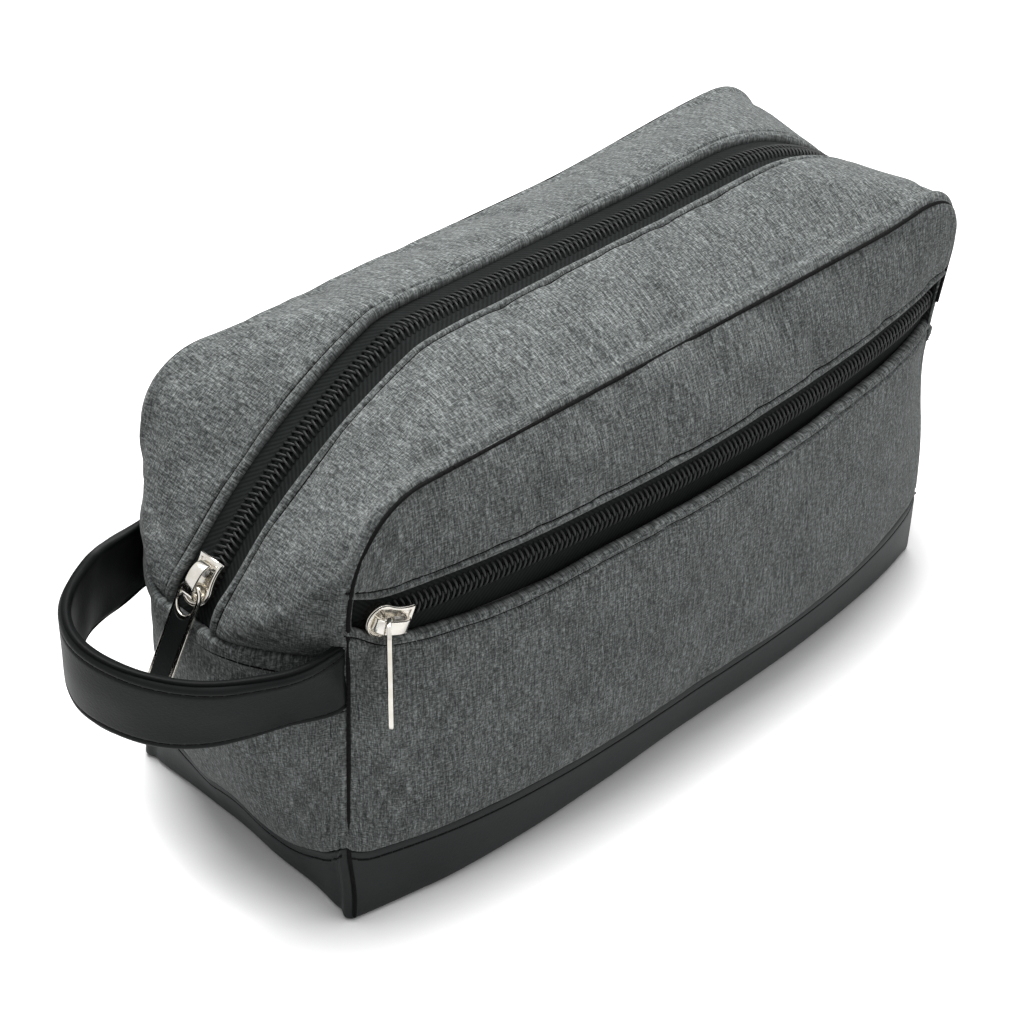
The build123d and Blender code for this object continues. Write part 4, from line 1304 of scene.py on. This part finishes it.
def pull_hang(which, outward):
    """A pull's directions down and across, and its ring's distance under the hinge."""
    if which == "main":
        lean = math.radians(MAIN_PULL_TILT)
        return np.array([-math.sin(lean), 0.0, -math.cos(lean)]), np.array(REARWARD), sum(PULL_RING) / 2
    turn, lean = math.radians(POCKET_PULL_TWIST), math.radians(POCKET_PULL_LEAN)
    down = np.array([0.0, 0.0, -math.cos(lean)]) + outward * math.sin(lean)
    down = unit(down - np.array([POCKET_PULL_SWAY, 0.0, 0.0]))
    width = np.array([math.sin(turn), math.cos(turn), 0.0])
    return down, unit(width - down * np.dot(width, down)), POCKET_DROP


def zip_sliders():
    """Both sliders with their bridges and springs, and both pulls with their inlays."""
    start, stop, leaf_half, leaf_thick = LEAF
    half = PULL_THICK / 2
    bead = [
        pressed([bead_plan(0.25)], *PLATE_LOW, PLATE_EDGES[0]),
        pressed([bead_plan(CORE_INSET)], PLATE_LOW[1] - 0.2, PLATE_HIGH[0] + 0.2, 0.1),
        pressed([bead_plan(0.0)], *PLATE_HIGH, PLATE_EDGES[1]),
        pressed([bead_plan(0.1), bead_plan(CORE_INSET)], PLATE_HIGH[1] - 0.3, RIM_TOP, 0.24),
    ]
    arch = pressed([arch_side()], -ARCH_HALF, ARCH_HALF, 0.28)
    leaf_plan = [(start, -leaf_half), (stop, -leaf_half), (stop, leaf_half), (start, leaf_half)]
    leaf = pressed([np.array(leaf_plan)], PLATE_HIGH[1], PLATE_HIGH[1] + leaf_thick, 0.1)
    pull = pressed(pull_plan(), -half, half, 0.32)
    inlay = pressed([inlay_plan()], -half - INLAY[1], half + INLAY[1], 0.12)
    for which, (origin, forward, across, outward), hinge in (
        ("main", main_slider_place(), MAIN_HINGE), ("pocket", pocket_slider_place(), POCKET_HINGE),
    ):
        down, width, drop = pull_hang(which, outward)
        centre = origin + forward * hinge[0] + outward * hinge[1] + down * drop
        flat, upright = (forward, across, outward), (forward, outward, across)
        hanging = (width, -down, np.cross(width, -down))
        for word, parts, place, axes, material, body, slot, nodes in (
            ("bead", bead, origin, flat, NICKEL, "slider", "nickel", ["slider_body"]),
            ("bridge", [arch], origin, upright, NICKEL, "slider", "nickel", ["slider_crown"]),
            ("leaf", [leaf], origin, flat, STEEL, "slider", "spring_steel", ["lock_spring"]),
            ("tab", [pull], centre, hanging, NICKEL, "pull", "nickel", ["pull_tab"]),
            ("inlay", [inlay], centre, hanging, STRAP, "pull", "trim_leather", []),
        ):
            piece = assembled(f"{which}_{word}", parts, place, axes)
            dress(piece, material, f"{which}_{body}", slot, *[f"{which}_{node}" for node in nodes])


# Carry loop

STRAP_WIDTH = 25.6
STRAP_MID = 72.0
STRAP_REACH = 45.5
LOOP_END_RADIUS = 33.0
LOOP_TURN = 240.0
LOOP_SIDE_RADIUS = 77.6
LOOP_SIDE_SWEEP = 25.2
STRAP_THICK = 3.2
STRAP_CROWN = 0.35
STRAP_TUCK = 0.6                # from the loop's plan to where its ends stop, inside the seams
STRAP_PINCH = (0.5, 0.025)      # how much thinner the ends are, and over what share of the length
STRAP_CENTRE = (-118, 0, 72)
STRAP_SINK = (1.5, 1.2)
BACKING_SINK = (1.5, 1.0)
STRAP_LAY = (0.5, 16.0)         # height and size of its uneven face
BACKING_LAY = (0.4, 16.0)
STRAP_BODY = 1.9                # thickness of the outer layer
BACKING_BODY = 1.35

# Along the loop from the front seam to the rear one: place, lean outwards in degrees, rise, push outwards
# and share of the width
STRAP_STATIONS = (0.0, 0.12, 0.3, 0.5, 0.7, 0.88, 1.0)
STRAP_LEAN = (-6, 24, 15, 7, -10, -10, -10)
STRAP_RISE = (4, 5, 6, 9, 10, 1, -2)
STRAP_PUSH = (-2.2, -2.4, 0, 3.2, -6, -4, -1.5)
STRAP_NARROW = (0.72, 0.95, 1, 1, 1, 1, 0.85)


def loop_plan():
    """Inner line of the loop in plan, from the front seam round to the rear one."""
    middle = np.array([-HALF - STRAP_REACH + LOOP_END_RADIUS, 0.0])
    turn = math.radians(LOOP_TURN)
    direction = np.array([math.cos(turn), math.sin(turn)])
    side_middle = middle + direction * (LOOP_END_RADIUS - LOOP_SIDE_RADIUS)
    side = np.radians(np.linspace(LOOP_TURN + LOOP_SIDE_SWEEP, LOOP_TURN, 40, endpoint=False))
    end = np.radians(np.linspace(LOOP_TURN, 180, 50))
    first = side_middle + LOOP_SIDE_RADIUS * np.stack([np.cos(side), np.sin(side)], axis=1)
    second = middle + LOOP_END_RADIUS * np.stack([np.cos(end), np.sin(end)], axis=1)
    half = np.vstack([first, second])
    return np.vstack([half, (half * np.array([1.0, -1.0]))[::-1][1:]])


def strap_along(values, share):
    """Smooth run of a value along the loop, as a column."""
    window = np.hanning(29)
    even = np.pad(np.interp(share, STRAP_STATIONS, values), 14, mode="edge")
    return np.convolve(even, window / window.sum(), mode="valid")[:, None]


def strap_grid(depth):
    """Grid of a face of the strap at a distance outside its inner line."""
    plan = loop_plan()
    even = sample(plan, np.linspace(STRAP_TUCK, along(plan)[-1] - STRAP_TUCK, 170))
    outward = beside(even)
    if np.sum(outward * (even - np.array([-HALF, 0.0]))) < 0:
        outward = -outward
    share = np.linspace(0, 1, len(even))
    lean = np.radians(strap_along(STRAP_LEAN, share))
    across = (spaced(STRAP_WIDTH, STRAP_STEP) - STRAP_WIDTH / 2)[None, :] * strap_along(STRAP_NARROW, share)
    pinch = 1 - STRAP_PINCH[0] * swell(np.minimum(share, 1 - share), 0, STRAP_PINCH[1])[:, None]
    reach = depth * pinch + STRAP_CROWN * (1 - (2 * across / STRAP_WIDTH) ** 2)
    side = np.sin(lean) * across + np.cos(lean) * reach + strap_along(STRAP_PUSH, share)
    up = np.cos(lean) * across - np.sin(lean) * reach + strap_along(STRAP_RISE, share)
    spots = even[:, None, :] + outward[:, None, :] * side[..., None]
    return np.concatenate([spots, (STRAP_MID + up)[..., None]], axis=2)


def carry_loop():
    """Folded leather-look strap with its backing and two rows of stitches."""
    outer, inner = strap_grid(STRAP_THICK), strap_grid(0.0)
    gap = spaced(STRAP_WIDTH, STRAP_STEP)
    edge = np.minimum(gap, STRAP_WIDTH - gap)[None, :]
    n = normals_of(outer, STRAP_CENTRE)
    height = sink(edge, *STRAP_SINK) + groove(edge, STITCH_INSET, *STRAP_GROOVE)
    height = height + rumple(outer, *STRAP_LAY, 21.0)
    shaped = outer + n * height[..., None]
    face = sheet_mesh("strap_outer", shaped, STRAP_BODY, normals=n)
    under = inner - n * (sink(edge, *BACKING_SINK) + rumple(outer, *BACKING_LAY, 22.0))[..., None]
    backing = sheet_mesh("strap_backing", under, -BACKING_BODY, normals=n)
    insets = (STITCH_INSET, STRAP_WIDTH - STITCH_INSET)
    rows = [shaped[:, int(np.argmin(np.abs(gap - inset)))] for inset in insets]
    seam = threads("strap_stitches", rows, *STRAP_STITCH)
    outer_nodes = ("handle_outer", "handle_core", "handle_end_front", "handle_end_rear")
    for piece, material, slot, nodes in (
        (face, STRAP, "trim_leather", outer_nodes), (backing, BACKING, "handle_backing", ["handle_lining"]),
        (seam, THREAD, "trim_leather", []),
    ):
        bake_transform(piece)
        painted(piece, material, slot, *nodes)


# Inside the bag

LINING_INSET = 3.9
LINING_HALF = 34.4
LINING_THICK = 0.4
LINING_SLACK = (0.7, 22.0)      # height and size of its folds
LINING_FOOT = 4.0               # just over the board
WRAP_INSET = 0.8                # more, of the part that goes round
WRAP_GAP = 5                    # rows of its grid left out each side of the zip
WALL_INSET = 0.4
WALL_FOOT = 4.2
WALL_SLACK = (0.7, 24.0)
POCKET_HALF = 91.4              # the pouch behind the front zip
POCKET_LEVELS = (24.4, 81.0)
POCKET_FRONT = 2.6              # from the fabric's outer face to the pouch's front
POCKET_BACK = -35.6
POCKET_SLACK = (0.25, 20.0)
POCKET_THICK = 0.35
BINDING_INSET = 3.0
BINDING_SPAN = (4.4, 0.5)       # from the seam's plane
BINDING_THICK = 0.6


def inset_hoop(y, depth):
    """Outline of the bag at a depth, moved inwards, with its foot on the board."""
    line = hoop(y)
    moved = line + beside(line) * depth
    return moved[moved[:, 1] > LINING_FOOT]


def lining_wraps():
    """Lining under the gusset and the ends, in two parts that leave the zip free."""
    ys = np.linspace(-LINING_HALF, LINING_HALF, 48)
    lines = [inset_hoop(y, LINING_INSET + WRAP_INSET) for y in ys]
    rows = [at_depth(sample(line, np.linspace(0, along(line)[-1], 150)), y) for line, y in zip(lines, ys)]
    grid = np.stack(rows, axis=1)
    n = normals_of(grid)
    grid = grid + n * rumple(grid, *LINING_SLACK, 31.0)[..., None]
    half = grid.shape[1] // 2
    for word, part in (("front", slice(None, half - WRAP_GAP)), ("rear", slice(half + WRAP_GAP, None))):
        lined(f"lining_wrap_{word}", grid[:, part], LINING_THICK, "main_lining", normals=n[:, part])


def lining_walls():
    """Lining behind the front and the rear face."""
    reach = HALF - LINING_INSET - WALL_INSET
    x = np.linspace(-reach, reach, 60)
    top = top_line(x) - LINING_INSET - WALL_INSET
    z = WALL_FOOT + (top - WALL_FOOT)[:, None] * np.linspace(0, 1, 40)[None, :]
    for word, side in (("front", -1), ("rear", 1)):
        grid = np.stack([np.repeat(x[:, None], 40, axis=1), np.full_like(z, side * LINING_HALF), z], axis=2)
        grid[..., 1] += side * (rumple(grid, *WALL_SLACK, 33.0 + side) - 0.5) * 0.5
        lined(f"lining_wall_{word}", grid, LINING_THICK)


def pocket_pouch():
    """Both sides of the pouch behind the front zip."""
    xs, zs = np.linspace(-POCKET_HALF, POCKET_HALF, 70), np.linspace(*POCKET_LEVELS, 34)
    x, z = np.meshgrid(xs, zs, indexing="ij")
    front = -(SIDE + belly(x, z) - POCKET_FRONT)
    for word, y, nodes in (("front", front, ["pocket_lining"]), ("back", np.full_like(x, POCKET_BACK), [])):
        grid = np.stack([x, y, z], axis=2)
        grid[..., 1] += rumple(grid, *POCKET_SLACK, 35.0)
        lined(f"pocket_bag_{word}", grid, POCKET_THICK, *nodes)


def seam_bindings():
    """Tapes that bind the raw seams."""
    line = inset_hoop(SEAM_PLANE, BINDING_INSET)[::4]
    for word, side in (("front", -1), ("rear", 1)):
        ys = side * np.linspace(*[SEAM_PLANE - edge for edge in BINDING_SPAN], 8)
        grid = np.stack([at_depth(line, y) for y in ys], axis=1)
        piece = sheet_mesh(f"bound_seam_{word}", grid, BINDING_THICK)
        dress(piece, BINDING, "bag", "binding_tape", f"{word}_seam_binding")


# Studio

FLOOR_SIZE = 6.0                # in metres
FLOOR_DROP = 0.0002
FLOOR_TONE = 0.95               # lit, where it is looked at
BOUNCE_TONE = 0.55              # and as the bag sees it
FLOOR_GLOW = 0.65               # of the floor in the camera's own view
MIRROR_GLOW = 0.20              # and in metal
CONTACT_SHADE_REACH = 21.0            # of the painted contact shadow round the bag's foot, where ambient occlusion darkens the floor's glow
CONTACT_SHADE_POWER = 3.0
SKY = 0.35                      # of the light that comes from all round
LAMPS = (                       # place in metres, size and power
    ("key", (0.14, 0.34, 1.35), 1.0, 20.0),
    ("fill", (0.9, -1.1, 0.7), 0.9, 2.0),
)
LAMP_AIM = (0, 0, 0.06)
SENSOR = 36.0
CLIP_START = 0.01


def shown_directly(tree):
    """1 for what the camera sees itself, or in metal."""
    path = add(tree, "ShaderNodeLightPath").outputs
    seen = maths(tree, "MAXIMUM", path["Is Camera Ray"], path["Is Glossy Ray"])
    return maths(tree, "MAXIMUM", seen, path["Is Transmission Ray"])


def two_looks(tree, kind, unseen, seen):
    """Ends a tree in one shader for the bag's light and another for what is shown directly."""
    shaders = {0: shown_directly(tree), 1: unseen.outputs[0], 2: seen.outputs[0]}
    add(tree, kind, {"Surface": add(tree, "ShaderNodeMixShader", shaders).outputs[0]})


def floor_material():
    """Pale floor: white where the camera sees it, with the bag's cast shadow on it and a painted contact
    shadow in its glow.
    """
    material = bpy.data.materials.new("floor")
    material.use_nodes = True
    tree = material.node_tree
    tree.nodes.clear()
    lit = add(tree, "ShaderNodeBsdfDiffuse", {"Color": (FLOOR_TONE, FLOOR_TONE, FLOOR_TONE, 1)})
    # Painted shadow: ambient occlusion darkens the floor's glow close to the bag's foot.
    near = add(tree, "ShaderNodeAmbientOcclusion", {"Distance": CONTACT_SHADE_REACH * MM}, samples=8)
    clear = maths(tree, "POWER", near.outputs["AO"], CONTACT_SHADE_POWER)
    looked_at = add(tree, "ShaderNodeLightPath").outputs["Is Camera Ray"]
    strength = maths(tree, "MULTIPLY", clear, mixed(tree, MIRROR_GLOW, FLOOR_GLOW, looked_at))
    glow = add(tree, "ShaderNodeEmission", {"Color": (1, 1, 1, 1), "Strength": strength})
    seen = add(tree, "ShaderNodeAddShader", {0: lit.outputs[0], 1: glow.outputs[0]})
    plain = add(tree, "ShaderNodeBsdfDiffuse", {"Color": (BOUNCE_TONE, BOUNCE_TONE, BOUNCE_TONE, 1)})
    two_looks(tree, "ShaderNodeOutputMaterial", plain, seen)
    return material


def lamp(name, place, size, power):
    """Square soft lamp that looks at the bag."""
    light = bpy.data.lights.new(name, "AREA")
    light.size = size
    light.energy = power
    holder = placed(name, light)
    holder.location = place
    aim = Vector(LAMP_AIM) - Vector(place)
    holder.rotation_euler = aim.to_track_quat("-Z", "Y").to_euler()


def camera():
    """Camera at the photograph's angle."""
    azimuth, elevation = math.radians(CAMERA_AZIMUTH), math.radians(CAMERA_ELEVATION)
    level_reach = math.cos(elevation)
    back = Vector((math.sin(azimuth) * level_reach, -math.cos(azimuth) * level_reach, math.sin(elevation)))
    right = (-back).cross(Vector(UP)).normalized()
    up = right.cross(-back)
    roll = math.radians(CAMERA_ROLL)
    turned_right = right * math.cos(roll) + up * math.sin(roll)
    turned_up = up * math.cos(roll) - right * math.sin(roll)
    data = bpy.data.cameras.new("camera")
    data.lens = CAMERA_LENS
    data.sensor_width = SENSOR
    data.clip_start = CLIP_START
    holder = placed("camera", data)
    matrix = Matrix((turned_right, turned_up, back)).transposed().to_4x4()
    matrix.translation = Vector(CAMERA_TARGET) * MM + back * CAMERA_DISTANCE * MM
    holder.matrix_world = matrix
    bpy.context.scene.camera = holder


def studio():
    """Floor, world light, soft lamps and camera."""
    bpy.ops.mesh.primitive_plane_add(size=FLOOR_SIZE, location=(0, 0, -FLOOR_DROP))
    floor = bpy.context.object
    floor.name = "floor"
    floor.data.materials.append(floor_material())
    world = bpy.data.worlds.new("studio")
    world.use_nodes = True
    tree = world.node_tree
    tree.nodes.clear()
    white = add(tree, "ShaderNodeBackground", {"Color": (1, 1, 1, 1), "Strength": 1.0})
    soft = add(tree, "ShaderNodeBackground", {"Color": (1, 1, 1, 1), "Strength": SKY})
    two_looks(tree, "ShaderNodeOutputWorld", soft, white)
    bpy.context.scene.world = world
    for settings in LAMPS:
        lamp(*settings)
    camera()
    bpy.context.scene.view_settings.view_transform = "Standard"


bag_shell()
seam_shade_threads()
zip_tapes()
zip_coils()
zip_sliders()
carry_loop()
lining_wraps()
lining_walls()
pocket_pouch()
seam_bindings()
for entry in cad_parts["base_board"].material_slots:
    entry.material = BOARD
studio()
